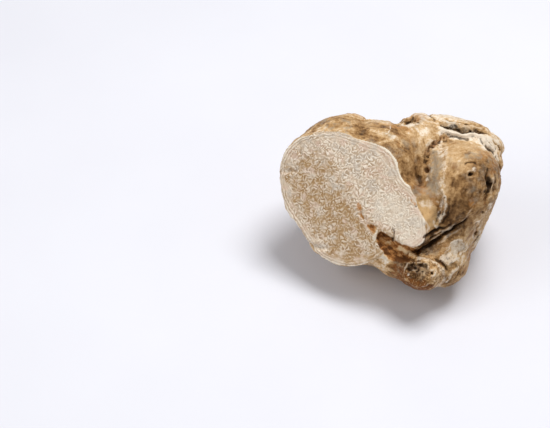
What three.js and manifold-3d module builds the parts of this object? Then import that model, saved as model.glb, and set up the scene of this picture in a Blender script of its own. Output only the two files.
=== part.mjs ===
// A white truffle, shaved flat on one side, lying on a small flat spot of its skin.
// Millimetres, +Z up. The origin is the middle of the flat spot, on the table.
import * as THREE from "three";
import { mergeVertices } from "three/addons/utils/BufferGeometryUtils.js";
import Module from "manifold-3d";

// The truffle leans back on the table. Its lumps and cuts are laid out in a frame of their own:
// x across it, y up along the shaved side, z out of the shaved side.
const LEAN_DEG = 45;
const MIDDLE = [-1.2, -6.9, 30]; // where the leaning frame's origin lies above the table

// The lumps that grew together: centre, half sizes, and turn about the leaning frame's z.
const LOBES = [
  { name: "shaved", at: [-16.5, 4, 0], half: [27, 21, 23], turn: -35 },
  { name: "low cheek", at: [-17, -6, 0], half: [17, 15.5, 20], turn: -20 },
  { name: "shoulder", at: [-19.5, 15.5, -5], half: [16.5, 16.5, 18], turn: 0 },
  { name: "saddle", at: [-5.5, 14.5, -3], half: [17, 15, 19], turn: -14 },
  { name: "finger", at: [0, -3, 6], half: [13, 13.5, 14], turn: -40 },
  { name: "neck", at: [8.5, 20, -6], half: [11, 12.5, 16], turn: 0 },
  { name: "flank", at: [20, 2, -7], half: [15, 28.5, 21], turn: -19 },
  { name: "head", at: [22, 7, 6], half: [14.5, 15, 14], turn: -10 },
  { name: "crown", at: [21, 24, -6], half: [18, 7, 13], turn: -14 },
  { name: "foot", at: [16, -18, -3], half: [10, 11.5, 13], turn: -15 },
  { name: "knob", at: [8, -23.5, 6], half: [8, 6.5, 9], turn: -10 },
  { name: "root", at: [0, -20, 0], half: [12, 5.5, 9], turn: -25 },
  { name: "belly", at: [1, -3, -14], half: [28, 20, 19], turn: 0 },
  { name: "rump", at: [-17, 5, -17], half: [17, 15, 11], turn: 20 },
  { name: "hump", at: [12, 11, -20], half: [16, 13, 11], turn: -25 },
];
const BLEND = 3; // how far from a valley two lumps start to run together
const SWELL = 0.35; // height of the low swellings all over the skin
const SWELL_LENGTHS = [1.9, 2.3, 2.1]; // their wave lengths over 2 pi, along x, y and z
const SKIN_CENTRE = [0, 0, -4]; // every point of the skin can be seen from here
const SKIN_DETAIL = 17; // the skin has 20 * (SKIN_DETAIL + 1)^2 triangles
const SKIN_REACH = 70; // further from the centre than any skin

// The flat strokes of the blade. Each leans to the truffle's side and down from the frame's z.
const STROKES = [
  { at: [-14, 2.5, 9], aside: 20, down: 9 },
  { at: [-10.5, -8, 8.5], aside: 27, down: 14 },
];
const STOCK = 160; // larger than the truffle, for the blocks that the strokes and the table take off

// Folds in the skin: points near the skin that the fold's middle line runs past, and its greatest radius.
const FOLDS = [
  {
    name: "under the head",
    radius: 1.8,
    path: [[7, -15, 8], [12, -10.5, 9.5], [18.5, -6.5, 12.5], [24, -2, 16], [28, 3, 17], [29, 9, 17], [28, 15, 16]],
  },
  {
    name: "along the crown",
    radius: 1.6,
    path: [[14, 28, 6], [17.5, 27.5, 5], [23, 26.3, 5], [29, 25.3, 4], [33, 24, 3]],
  },
  {
    name: "behind the brow",
    radius: 1.3,
    path: [[15, 25.5, 7], [18.5, 24, 7], [24, 22.8, 8], [27.5, 21, 9], [30, 18, 11]],
  },
  {
    name: "beside the neck",
    radius: 1.9,
    path: [[1, 30.5, -8], [2.5, 28, 2], [4.3, 23, 9], [6.2, 17, 10], [7.4, 9, 10.2], [7.5, 4, 12]],
  },
  {
    name: "round the rump",
    radius: 1.9,
    path: [[-6, 31, -8], [-8, 24, -17], [-5, 15, -27], [-4, 4, -32], [-9, -8, -30], [-20, -14, -22]],
  },
  {
    name: "behind the flank",
    radius: 1.7,
    path: [[34, 22, -12], [30, 13, -19], [24, 2, -26], [19, -9, -26], [15, -19, -18]],
  },
];
const TUBE_SIDES = 8;
const TUBE_STEP = 2;

// The split that opens towards the knob: middle line and half width, seen along the frame's z.
const SPLIT = [
  { at: [-13.6, -1.5], half: 0.2 },
  { at: [-10.6, -8], half: 0.8 },
  { at: [-7.8, -11.2], half: 1.6 },
  { at: [-5, -13.2], half: 2.4 },
  { at: [-0.5, -15.6], half: 2.6 },
  { at: [4.2, -18], half: 2.4 },
  { at: [8.5, -19], half: 1.4 },
];
const SPLIT_FLOOR = 3.5;
const SPLIT_TOP = 30;

// The smooth hollow between the shaved side and the head.
const HOLLOW = { at: [11.5, -0.5, 19], half: [5.5, 8.5, 4.5], turn: 28, detail: 6 };

const SKIN_COLOUR = 0xa87d4b;
const SKIN_ROUGHNESS = 0.55;

const degrees = THREE.MathUtils.degToRad;
const wasm = await Module();
wasm.setup();

// A closed geometry as a solid that can be joined and cut.
function toSolid(geometry) {
  const bare = geometry.clone();
  bare.deleteAttribute("normal");
  bare.deleteAttribute("uv");
  const merged = mergeVertices(bare, 1e-4);
  const corners = merged.index.array;
  const kept = [];
  for (let i = 0; i < corners.length; i += 3) {
    const [a, b, c] = corners.slice(i, i + 3);
    if (a !== b && b !== c && c !== a) kept.push(a, b, c);
  }
  const mesh = new wasm.Mesh({
    numProp: 3,
    vertProperties: new Float32Array(merged.attributes.position.array),
    triVerts: new Uint32Array(kept),
  });
  return new wasm.Manifold(mesh);
}

// A solid's triangles as a geometry with flat faces.
function toGeometry(solid) {
  const mesh = solid.getMesh();
  const geometry = new THREE.BufferGeometry();
  geometry.setAttribute("position", new THREE.BufferAttribute(mesh.vertProperties, 3));
  geometry.setIndex(new THREE.BufferAttribute(mesh.triVerts, 1));
  geometry.computeVertexNormals();
  return geometry;
}

// Each lobe with what its distance needs worked out once.
const lumps = LOBES.map(({ at, half, turn }) => ({
  centre: new THREE.Vector3(...at),
  half: new THREE.Vector3(...half),
  square: new THREE.Vector3(...half).multiply(new THREE.Vector3(...half)),
  back: new THREE.Quaternion().setFromAxisAngle(new THREE.Vector3(0, 0, 1), -degrees(turn)),
}));

// About how far a point is outside one lump, negative inside it.
function lumpDistance(point, lump) {
  const local = point.clone().sub(lump.centre).applyQuaternion(lump.back);
  const scaled = local.clone().divide(lump.half).length();
  const slope = local.divide(lump.square).length();
  return (scaled * (scaled - 1)) / Math.max(slope, 1e-6);
}

// The lower of two distances, rounded over where they are nearly alike.
function meltedMin(a, b) {
  const near = Math.max(BLEND - Math.abs(a - b), 0) / BLEND;
  return Math.min(a, b) - (near * near * BLEND) / 4;
}

// About how far a point is outside the skin.
function skinDistance(point) {
  const [lx, ly, lz] = SWELL_LENGTHS;
  const wave = Math.sin(point.x / lx) * Math.sin(point.y / ly) * Math.sin(point.z / lz);
  return lumps.map((lump) => lumpDistance(point, lump)).reduce(meltedMin) - SWELL * wave;
}

// The whole truffle before it was cut: a fine ball drawn in on to the skin along its rays.
function skinSolid() {
  const ball = new THREE.IcosahedronGeometry(1, SKIN_DETAIL);
  const centre = new THREE.Vector3(...SKIN_CENTRE);
  const positions = ball.attributes.position;
  const ray = new THREE.Vector3();
  const point = new THREE.Vector3();
  for (let i = 0; i < positions.count; i++) {
    ray.fromBufferAttribute(positions, i).normalize();
    let reach = SKIN_REACH;
    let gap = Infinity;
    while (gap > 1e-3) {
      gap = skinDistance(point.copy(ray).multiplyScalar(reach).add(centre));
      reach -= gap * 0.6;
    }
    positions.setXYZ(i, ...point.copy(ray).multiplyScalar(reach).add(centre));
  }
  return toSolid(ball);
}

// The direction straight out of the skin near a point.
function outward(point) {
  const step = 0.05;
  const here = skinDistance(point);
  const slope = (x, y, z) => skinDistance(new THREE.Vector3(x, y, z).add(point)) - here;
  return new THREE.Vector3(slope(step, 0, 0), slope(0, step, 0), slope(0, 0, step)).normalize();
}

// A tube laid along the skin, to a point at both ends, where it rises clear so that the fold runs out.
function foldSolid({ path, radius }) {
  const rough = new THREE.CatmullRomCurve3(path.map((p) => new THREE.Vector3(...p)));
  const steps = Math.round(rough.getLength() / TUBE_STEP);
  const fullness = (t) => Math.sqrt(Math.sin(Math.PI * THREE.MathUtils.clamp(t, 0, 1)));
  const laid = rough.getSpacedPoints(steps).map((point, i) => {
    for (let pass = 0; pass < 8; pass++) point.addScaledVector(outward(point), -skinDistance(point));
    return point.addScaledVector(outward(point), radius * (1 - fullness(i / steps)));
  });
  const curve = new THREE.CatmullRomCurve3(laid);
  const tube = new THREE.TubeGeometry(curve, steps, radius, TUBE_SIDES);
  const positions = tube.attributes.position;
  const point = new THREE.Vector3();
  for (let i = 0; i < positions.count; i++) {
    const t = Math.floor(i / (TUBE_SIDES + 1)) / steps;
    const middle = curve.getPointAt(t);
    point.fromBufferAttribute(positions, i).sub(middle).multiplyScalar(fullness(t)).add(middle);
    positions.setXYZ(i, ...point);
  }
  return toSolid(tube);
}

// The wedge that opens the split.
function splitSolid() {
  const left = [];
  const right = [];
  SPLIT.forEach(({ at, half }, i) => {
    const before = SPLIT[Math.max(i - 1, 0)].at;
    const after = SPLIT[Math.min(i + 1, SPLIT.length - 1)].at;
    const along = new THREE.Vector2(after[0] - before[0], after[1] - before[1]).normalize();
    const side = new THREE.Vector2(-along.y, along.x).multiplyScalar(half);
    left.push(new THREE.Vector2(...at).add(side));
    right.unshift(new THREE.Vector2(...at).sub(side));
  });
  const wedge = new THREE.ExtrudeGeometry(new THREE.Shape([...right, ...left]), {
    depth: SPLIT_TOP - SPLIT_FLOOR,
    bevelEnabled: false,
  });
  return toSolid(wedge.translate(0, 0, SPLIT_FLOOR));
}

// The rounded hollow beside the shaved side.
function hollowSolid() {
  const { at, half, turn, detail } = HOLLOW;
  const ball = new THREE.IcosahedronGeometry(1, detail);
  return toSolid(ball.scale(...half).rotateZ(degrees(turn)).translate(...at));
}

// What one stroke of the blade takes off: a block whose underside is the cut.
function strokeSolid({ at, aside, down }) {
  const out = new THREE.Vector3(-Math.tan(degrees(aside)), -Math.tan(degrees(down)), 1).normalize();
  const block = new THREE.BoxGeometry(STOCK, STOCK, STOCK).translate(0, 0, STOCK / 2);
  const turn = new THREE.Quaternion().setFromUnitVectors(new THREE.Vector3(0, 0, 1), out);
  return toSolid(block.applyQuaternion(turn).translate(...at));
}

// From the leaning frame to the table's.
const place = new THREE.Matrix4()
  .makeTranslation(...MIDDLE)
  .multiply(new THREE.Matrix4().makeRotationX(degrees(LEAN_DEG)));

// What lies below the table, in the leaning frame: taking it off leaves the flat spot.
function tableSolid() {
  const block = new THREE.BoxGeometry(STOCK, STOCK, STOCK).translate(0, 0, -STOCK / 2);
  return toSolid(block.applyMatrix4(place.clone().invert()));
}

const removed = [
  ...FOLDS.map(foldSolid),
  hollowSolid(),
  splitSolid(),
  ...STROKES.map(strokeSolid),
  tableSolid(),
];
const truffle = new THREE.Mesh(
  toGeometry(removed.reduce((body, piece) => body.subtract(piece), skinSolid())),
  new THREE.MeshStandardMaterial({
    color: SKIN_COLOUR,
    roughness: SKIN_ROUGHNESS,
    metalness: 0,
    flatShading: true,
  }),
);
truffle.name = "truffle";
truffle.applyMatrix4(place);

const part = new THREE.Group();
part.add(truffle);
export default part;
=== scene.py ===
"""A white truffle with a shaved side: its body, skin, marbled flesh, light and camera.

The body is modelled in a leaning frame of its own, in millimetres: x across the truffle, y up along
the shaved side and z out of it. It is leant back on to the table at the end, in metres.
"""

import itertools
import logging
import math
from collections.abc import Sequence
from dataclasses import dataclass, field
from enum import Enum

import bpy
import numpy as np
from mathutils import Matrix, Vector


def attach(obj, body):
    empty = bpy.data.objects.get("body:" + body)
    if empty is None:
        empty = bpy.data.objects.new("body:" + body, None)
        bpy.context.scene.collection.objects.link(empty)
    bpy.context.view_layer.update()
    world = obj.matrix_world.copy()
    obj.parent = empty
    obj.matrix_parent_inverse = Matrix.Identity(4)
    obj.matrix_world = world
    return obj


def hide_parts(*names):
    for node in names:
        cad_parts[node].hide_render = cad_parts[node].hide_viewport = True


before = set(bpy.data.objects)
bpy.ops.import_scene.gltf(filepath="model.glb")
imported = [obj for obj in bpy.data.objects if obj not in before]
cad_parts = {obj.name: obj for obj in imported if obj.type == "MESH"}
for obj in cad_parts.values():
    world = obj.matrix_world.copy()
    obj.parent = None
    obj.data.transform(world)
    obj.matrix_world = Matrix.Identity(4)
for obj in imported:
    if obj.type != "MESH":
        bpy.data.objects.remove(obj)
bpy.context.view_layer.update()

LOG = logging.getLogger("truffle")

MM = 0.001
LEAN_DEG = 45.0
MIDDLE_MM = (-1.2, -6.9, 30.0)
EYE_MM = (-42.8, -3.2, 536.0)
HEART_MM = (2.2, 4.1, -7.3)
STIR_SIZE = 3.2
STIR_SEEDS = (40.2, 53.9, 66.1)
GRAIN_RUN = np.array([0.25, 1.0, 1.0])
TOWARDS_EYE = (0.0, 0.0, 1.0)

Point2 = tuple[float, float]
Point3 = tuple[float, float, float]
Path = tuple[Point2, ...]
Colour = tuple[float, float, float, float]
Socket = bpy.types.NodeSocket

SLOPES = np.random.default_rng(11).normal(size=(4096, 3))
SLOPES /= np.linalg.norm(SLOPES, axis=1)[:, None]


def seen(red: int, green: int, blue: int) -> Colour:
    """Turn a colour as it looks on a screen into the colour that a shader mixes.

    Args:
        red: The red part, 0 to 255.
        green: The green part, 0 to 255.
        blue: The blue part, 0 to 255.

    Returns:
        The linear colour, with full alpha.
    """
    parts = [part / 255 for part in (red, green, blue)]
    linear = [p / 12.92 if p <= 0.04045 else ((p + 0.055) / 1.055) ** 2.4 for p in parts]
    return (linear[0], linear[1], linear[2], 1.0)


def ease(values: np.ndarray, low: float, high: float) -> np.ndarray:
    """Rise smoothly from 0 at low to 1 at high (or fall, where low is above high)."""
    t = np.clip((values - low) / (high - low), 0.0, 1.0)
    return t * t * (3 - 2 * t)


def lattice_field(places: np.ndarray) -> np.ndarray:
    """Sample one layer of a rough field whose lumps are 1 apart.

    Args:
        places: The points.

    Returns:
        About -1 to 1 for each point.
    """
    base = np.floor(places).astype(np.int64)
    rest = places - base
    fade = rest**3 * (rest * (rest * 6 - 15) + 10)
    total = np.zeros(len(places))
    for corner in itertools.product((0, 1), repeat=3):
        cell = base + np.array(corner)
        key = (cell[:, 0] * 73856093) ^ (cell[:, 1] * 19349663) ^ (cell[:, 2] * 83492791)
        key = (key ^ (key >> 13)) * 1274126177
        slope = np.einsum("ij,ij->i", SLOPES[(key >> 5) & 4095], rest - np.array(corner))
        total += slope * np.prod(np.where(corner, fade, 1 - fade), axis=1)
    return 1.6 * total


def rough_field(points: np.ndarray, size: float, octaves: int, seed: float) -> np.ndarray:
    """Sample a fractal field at points.

    Args:
        points: The points, in millimetres.
        size: The size of the largest lumps in millimetres.
        octaves: How many layers, each half as large as the one before.
        seed: An offset into the field.

    Returns:
        About -1 to 1 for each point.
    """
    layers = range(octaves)
    return sum(0.5**i * lattice_field(points / size * 2**i + seed + 17.3 * i) for i in layers)


class Pigment(Enum):
    """What a wash leaves on the truffle. Each is a point attribute of the body's mesh."""

    # The skin's lighter and darker tone, in places painted light and shade
    LIGHT = "light"
    SHADE = "shade"
    # Pale edges and scuffs, on the crown's ridges also painted highlight
    CREAM = "cream"
    # Dark colour and painted shade, in furrows, pits and hollows
    DUSK = "dusk"
    RUST = "rust"
    ASH = "ash"
    HONEY = "honey"
    SLEEK = "sleek"
    # The flesh's browner lower side: browner flesh and painted shadow
    TAN = "tan"
    GRAIN = "grain"


@dataclass(frozen=True)
class Lobe:
    """One of the lumps that grew together: its middle, half sizes and turn about the frame's z."""

    at: Point3
    half: Point3
    turn: float


@dataclass(frozen=True)
class BladeStroke:
    """One flat stroke of the blade: a point on it, and how far it leans aside and down."""

    at: Point3
    aside: float
    down: float

    @property
    def normal(self) -> np.ndarray:
        """The direction out of the cut."""
        out = np.array([-math.tan(math.radians(self.aside)), -math.tan(math.radians(self.down)), 1.0])
        return out / np.linalg.norm(out)

    def height(self, x: float, y: float) -> float:
        """The cut's height above a place in the leaning frame."""
        rise = math.tan(math.radians(self.aside)) * (x - self.at[0])
        return self.at[2] + rise + math.tan(math.radians(self.down)) * (y - self.at[1])


@dataclass(frozen=True)
class Split:
    """A torn opening in the shaved side: two lips, a depth, and the shape of the wedge that it takes out.

    The fade is how far above the lower lip the torn tissue shows in full, in millimetres. The insets are
    how far the wedge's floor stays inside the lips, shallow is the floor's depth at the lower lip, and
    even is how much of the depth doesn't taper along it, all as shares. Clear is how far the wedge stands
    out of the cut, in millimetres.
    """

    upper: Path
    lower: Path
    depth: float
    fade: float
    upper_inset: float = 0.06
    lower_inset: float = 0.22
    shallow: float = 0.3
    even: float = 0.45
    clear: float = 1.5


@dataclass(frozen=True)
class Trail:
    """A path round the sides that aren't seen from in front.

    Its stops are turns about the upright line through the truffle's heart, from 0 at the front and 90
    at the right, and rises above the heart, both in degrees.
    """

    stops: Path


@dataclass(frozen=True)
class Fold:
    """A line pressed into the body, or raised on it where its depth is negative.

    A path is given as it is seen from in front of the shaved side. The lips are the swellings on its
    left and right, as shares of the depth.
    """

    path: "Path | Trail"
    width: float
    depth: float
    left_lip: float = 0.2
    right_lip: float = 0.2
    ragged: float = 0.4


@dataclass(frozen=True)
class Pit:
    """A small round hole with a raised rim, or a wide dent."""

    at: "Path | Trail"
    radius: float
    depth: float
    rim: float = 0.15


@dataclass(frozen=True)
class Wrinkles:
    """A field of wrinkles that run along a path, from soft swells to crisp ridges."""

    path: "Path | Trail"
    reach: float
    pitch: float
    length: float
    height: float
    crisp: float = 0.2


@dataclass(frozen=True)
class Wash:
    """A patch of pigment along a path, soft or ragged at its border."""

    pigment: Pigment
    path: "Path | Trail"
    reach: float
    strength: float = 1.0
    ragged: float = 0.5
    patchy: float = 0.35
    soft: float = 0.45


@dataclass(frozen=True)
class Bloom:
    """Patches of pigment that come by chance on the sides that aren't seen from in front."""

    pigment: Pigment
    size: float
    strength: float
    low: float
    high: float
    seed: float


@dataclass(frozen=True)
class Weathering:
    """How the sides that aren't seen from in front are swollen, furrowed, cracked and pitted.

    Heights, widths and depths are in millimetres. A pit's radius is the least one and a chance share of
    the spread.
    """

    swell: float = 0.42
    billow: float = 0.35
    seam_width: float = 1.4
    seam_depth: float = 0.9
    crack_depth: float = 0.6
    pits: int = 55
    pit_least: float = 0.35
    pit_spread: float = 0.7
    seed: int = 23


@dataclass(frozen=True)
class Beside:
    """Points near a line: which they are, how far to its left, how far along it, how far they face it."""

    index: np.ndarray
    across: np.ndarray
    share: np.ndarray
    along: np.ndarray
    facing: np.ndarray


class Line:
    """A smooth line through a few points, flat or on the surface."""

    def __init__(self, path: "Sequence[Point2] | np.ndarray", steps: int = 5) -> None:
        """Lay the line.

        Args:
            path: The points that it runs through. One point stands for a spot.
            steps: How many short straight steps each stretch is made of.
        """
        points = np.array(path, dtype=float)
        if points.shape[1] == 2:
            points = np.column_stack([points, np.zeros(len(points))])
        if len(points) > 2:
            padded = np.vstack([2 * points[0] - points[1], points, 2 * points[-1] - points[-2]])
            laid = []
            for i in range(1, len(padded) - 2):
                a, b, c, d = padded[i - 1 : i + 3]
                for t in np.arange(steps) / steps:
                    bend = 2 * b + (c - a) * t + (2 * a - 5 * b + 4 * c - d) * t**2
                    laid.append(0.5 * (bend + (3 * b - a - 3 * c + d) * t**3))
            laid.append(points[-1])
            points = np.array(laid)
        self.points = points

    def measure(self, where: np.ndarray, up: np.ndarray) -> tuple[np.ndarray, np.ndarray, np.ndarray]:
        """Find where points lie beside the line.

        Args:
            where: The points.
            up: The direction out of the surface at each.

        Returns:
            Their distances, positive to the left; the share of the line's length that they lie at;
            and that length in millimetres.
        """
        if len(self.points) == 1:
            gap = np.linalg.norm(where - self.points[0], axis=1)
            return gap, np.full(len(where), 0.5), np.zeros(len(where))
        steps = np.linalg.norm(np.diff(self.points, axis=0), axis=1)
        starts = np.concatenate([[0.0], np.cumsum(steps)])
        best = np.full(len(where), np.inf)
        side = np.ones(len(where))
        along = np.zeros(len(where))
        for start, end, step, gone in zip(self.points[:-1], self.points[1:], steps, starts[:-1]):
            way = (end - start) / step
            offset = where - start
            t = np.clip(offset @ way, 0.0, step)
            gap = np.linalg.norm(offset - t[:, None] * way, axis=1)
            nearer = gap < best
            best = np.where(nearer, gap, best)
            left = np.einsum("ij,ij->i", np.cross(way, offset), up)
            side = np.where(nearer, np.where(left >= 0, 1.0, -1.0), side)
            along = np.where(nearer, gone + t, along)
        return best * side, along / starts[-1], along


class Clay:
    """The body's points as arrays in millimetres of the leaning frame, to be pressed and painted."""

    def __init__(self, piece: bpy.types.Object) -> None:
        """Take up the points of a piece.

        Args:
            piece: The body, still upright in its leaning frame.
        """
        self.piece = piece
        mesh = piece.data
        count = len(mesh.vertices)
        flat = np.empty(count * 3, dtype=np.float32)
        mesh.vertices.foreach_get("co", flat)
        self.points = flat.reshape(-1, 3).astype(float) / MM
        edges = np.empty(len(mesh.edges) * 2, dtype=np.int32)
        mesh.edges.foreach_get("vertices", edges)
        self.edges = edges.reshape(-1, 2)
        self.valence = np.bincount(self.edges.ravel(), minlength=count).astype(float)
        self.paint = {pigment: np.zeros(count) for pigment in Pigment}
        self.streak = np.zeros(count)
        self.flow = self.points * GRAIN_RUN
        self.refresh()
        self.look()

    def refresh(self) -> None:
        """Write the points back to the mesh and read its normals again."""
        mesh = self.piece.data
        mesh.vertices.foreach_set("co", (self.points * MM).astype(np.float32).ravel())
        mesh.update()
        flat = np.empty(len(self.points) * 3, dtype=np.float32)
        mesh.vertex_normals.foreach_get("vector", flat)
        self.normals = flat.reshape(-1, 3).astype(float)

    def look(self) -> None:
        """Note where the points are seen from in front, a little stirred, and how far they face the eye."""
        eye = np.array(EYE_MM)
        nearer = eye[2] / (eye[2] - self.points[:, 2])
        self.view = np.zeros_like(self.points)
        self.view[:, :2] = eye[:2] + (self.points[:, :2] - eye[:2]) * nearer[:, None]
        stir = np.column_stack([self.rough(STIR_SIZE, 3, seed) for seed in STIR_SEEDS])
        self.view[:, :2] += 0.45 * stir[:, :2]
        self.stirred = self.points + 0.6 * stir
        self.front = ease(self.normals[:, 2], -0.25, 0.1)

    def averaged(self, values: np.ndarray, passes: int) -> np.ndarray:
        """Even out values over the surface.

        Args:
            values: One number or one vector for each point.
            passes: How often each point takes the mean of its neighbours and itself.

        Returns:
            The evened values.
        """
        columns = values.reshape(len(self.points), -1).copy()
        a, b = self.edges[:, 0], self.edges[:, 1]
        for _ in range(passes):
            for k in range(columns.shape[1]):
                column = columns[:, k]
                near = np.bincount(a, column[b], len(column)) + np.bincount(b, column[a], len(column))
                columns[:, k] = 0.5 * column + 0.5 * near / self.valence
        return columns.reshape(values.shape)

    def relax(self, passes: int, share: np.ndarray) -> None:
        """Smooth the surface, by a share for each point."""
        evened = self.averaged(self.points, passes)
        self.points += (evened - self.points) * share[:, None]
        self.refresh()

    def push(self, amount: np.ndarray) -> None:
        """Move each point along its normal by an amount in millimetres."""
        self.points += self.normals * amount[:, None]
        self.refresh()

    def lay(self, trail: Trail) -> np.ndarray:
        """Lay a trail on the surface.

        Args:
            trail: The trail.

        Returns:
            The surface's points that it runs through, in millimetres.
        """
        turn, rise, _ = np.radians(Line(trail.stops).points).T
        ways = np.column_stack([np.sin(turn) * np.cos(rise), -np.cos(turn) * np.cos(rise), np.sin(rise)])
        ways = ways @ np.array(Matrix.Rotation(math.radians(LEAN_DEG), 3, "X"))
        out = self.points - np.array(HEART_MM)
        out /= np.linalg.norm(out, axis=1)[:, None]
        return self.points[np.argmax(ways @ out.T, axis=1)]

    def beside(self, path: "Path | Trail", reach: float) -> Beside:
        """Find the points near a line.

        Args:
            path: The line, as it is seen from in front, or a trail.
            reach: How far from it they may be.

        Returns:
            Those points.
        """
        if isinstance(path, Trail):
            line = Line(self.lay(path))
            where, up, facing = self.stirred, self.normals, np.ones(len(self.points))
        else:
            line = Line(path)
            where, up, facing = self.view, np.full(self.points.shape, TOWARDS_EYE), self.front
        within = (where > line.points.min(axis=0) - reach) & (where < line.points.max(axis=0) + reach)
        index = np.flatnonzero(within.all(axis=1) & (facing > 0))
        return Beside(index, *line.measure(where[index], up[index]), facing[index])

    def rough(self, size: float, octaves: int = 3, seed: float = 0.0) -> np.ndarray:
        """Sample a rough field at the body's points, as rough_field does."""
        return rough_field(self.points, size, octaves, seed)

    def hollows(self, passes: int, scale: float) -> np.ndarray:
        """How far each point stands out of the surface around it.

        Args:
            passes: How wide that surface is.
            scale: The height in millimetres that counts as 1.

        Returns:
            Up to 2 on edges, down to -2 in hollows.
        """
        smooth = self.averaged(self.points, passes)
        proud = np.einsum("ij,ij->i", self.points - smooth, self.normals)
        return np.clip(proud / scale, -2, 2)


class NodeBench:
    """The nodes of one material, with short names for the ones that the finishes use."""

    def __init__(self, name: str) -> None:
        """Start a material.

        Args:
            name: The material's name.
        """
        self.material = bpy.data.materials.new(name)
        self.material.use_nodes = True
        self.tree = self.material.node_tree
        self.shader = self.tree.nodes["Principled BSDF"]
        self.place = self.tree.nodes.new("ShaderNodeTexCoord").outputs["Object"]

    def put(self, socket: Socket, value: "Socket | float | Colour") -> None:
        """Link a socket to another, or set its value."""
        if isinstance(value, bpy.types.NodeSocket):
            self.tree.links.new(value, socket)
        else:
            socket.default_value = value

    def attribute(self, name: str, output: str = "Fac") -> Socket:
        """A point attribute of the mesh, as a number or as a Vector."""
        node = self.tree.nodes.new("ShaderNodeAttribute")
        node.attribute_name = name
        return node.outputs[output]

    def leaned(self, turn: float = 0.0, stretch: Point3 = (1, 1, 1)) -> Socket:
        """The place in the leaning frame.

        Args:
            turn: How far the place is turned about the frame's z, in degrees.
            stretch: The scale along x, y and z afterwards.

        Returns:
            The place, in metres.
        """
        steps = (
            ("Rotation", (math.radians(-LEAN_DEG), 0, 0)),
            ("Rotation", (0, 0, math.radians(turn))),
            ("Scale", stretch),
        )
        place = self.place
        for name, value in steps:
            node = self.tree.nodes.new("ShaderNodeMapping")
            node.inputs[name].default_value = value
            self.put(node.inputs["Vector"], place)
            place = node.outputs["Vector"]
        return place

    def noise(
        self,
        scale: float,
        detail: float,
        rough: float,
        distort: float = 0.0,
        place: Socket | None = None,
        output: str = "Fac",
    ) -> Socket:
        """A noise over the body.

        Args:
            scale: Lumps to the metre.
            detail: How many finer layers it has.
            rough: How strong those are.
            distort: How far it is stirred.
            place: Where it is read, if not at the point itself.
            output: Which result is wanted, Fac or Color.

        Returns:
            The noise, about 0 to 1.
        """
        node = self.tree.nodes.new("ShaderNodeTexNoise")
        self.put(node.inputs["Vector"], place or self.place)
        node.inputs["Scale"].default_value = scale
        node.inputs["Detail"].default_value = detail
        node.inputs["Roughness"].default_value = rough
        node.inputs["Distortion"].default_value = distort
        return node.outputs[output]

    def vector(self, operation: str, *values: "Socket | Point3 | float") -> Socket:
        """An operation on vectors."""
        node = self.tree.nodes.new("ShaderNodeVectorMath")
        node.operation = operation
        sockets = [node.inputs["Scale"] if isinstance(v, float) else s for s, v in zip(node.inputs, values)]
        for socket, value in zip(sockets, values):
            self.put(socket, value)
        return node.outputs["Value" if operation == "DOT_PRODUCT" else "Vector"]

    def math(self, operation: str, *values: "Socket | float") -> Socket:
        """A sum or other operation on numbers."""
        node = self.tree.nodes.new("ShaderNodeMath")
        node.operation = operation
        for socket, value in zip(node.inputs, values):
            self.put(socket, value)
        return node.outputs["Value"]

    def times(self, first: Socket, second: "Socket | float") -> Socket:
        """Multiply two numbers."""
        return self.math("MULTIPLY", first, second)

    def swing(self, value: Socket, amount: float) -> Socket:
        """Turn a noise about 0.5 into a number about 0, times an amount."""
        return self.math("MULTIPLY_ADD", value, amount, -0.5 * amount)

    def total(self, *values: "Socket | float") -> Socket:
        """Add numbers up."""
        result = values[0]
        for value in values[1:]:
            result = self.math("ADD", result, value)
        return result

    def fit(
        self, value: Socket, low: float, high: float, to_low: float = 0.0, to_high: float = 1.0
    ) -> Socket:
        """Ease a number from the range low to high into another range.

        Args:
            value: The number.
            low: Where the rise starts.
            high: Where it ends. It may be below low.
            to_low: The result at low.
            to_high: The result at high.

        Returns:
            The eased number.
        """
        node = self.tree.nodes.new("ShaderNodeMapRange")
        node.interpolation_type = "SMOOTHSTEP"
        if low > high:
            low, high, to_low, to_high = high, low, to_high, to_low
        for name, number in (("From Min", low), ("From Max", high), ("To Min", to_low), ("To Max", to_high)):
            node.inputs[name].default_value = number
        self.put(node.inputs["Value"], value)
        return node.outputs["Result"]

    def blend(self, share: Socket, first: "Socket | float", second: "Socket | float") -> Socket:
        """Mix two numbers by a share."""
        node = self.tree.nodes.new("ShaderNodeMix")
        node.data_type = "FLOAT"
        self.put(node.inputs[0], share)
        self.put(node.inputs[2], first)
        self.put(node.inputs[3], second)
        return node.outputs[0]

    def mix(self, share: Socket, first: "Socket | Colour", second: "Socket | Colour") -> Socket:
        """Mix two colours by a share."""
        node = self.tree.nodes.new("ShaderNodeMix")
        node.data_type = "RGBA"
        self.put(node.inputs[0], share)
        self.put(node.inputs[6], first)
        self.put(node.inputs[7], second)
        return node.outputs[2]

    def ramp(self, value: Socket, stops: Sequence[tuple[float, Colour]]) -> Socket:
        """Colour a number by stops along its range."""
        node = self.tree.nodes.new("ShaderNodeValToRGB")
        elements = node.color_ramp.elements
        while len(elements) < len(stops):
            elements.new(0.5)
        for element, (place, colour) in zip(elements, stops):
            element.position = place
            element.color = colour
        self.put(node.inputs["Fac"], value)
        return node.outputs["Color"]

    def stain(
        self, colour: Socket, pigment: Pigment, tint: Colour, most: float, speckle: Socket, low: float
    ) -> Socket:
        """Lay a pigment over a colour.

        Args:
            colour: The colour below it.
            pigment: The pigment.
            tint: The pigment's colour.
            most: The share that it covers at most.
            speckle: What breaks up its border, about 0.
            low: Where it starts to show, from 0 to 1.

        Returns:
            The stained colour.
        """
        mask = self.math("ADD", self.attribute(pigment.value), speckle)
        return self.mix(self.times(self.fit(mask, low, 0.95), most), colour, tint)

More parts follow.
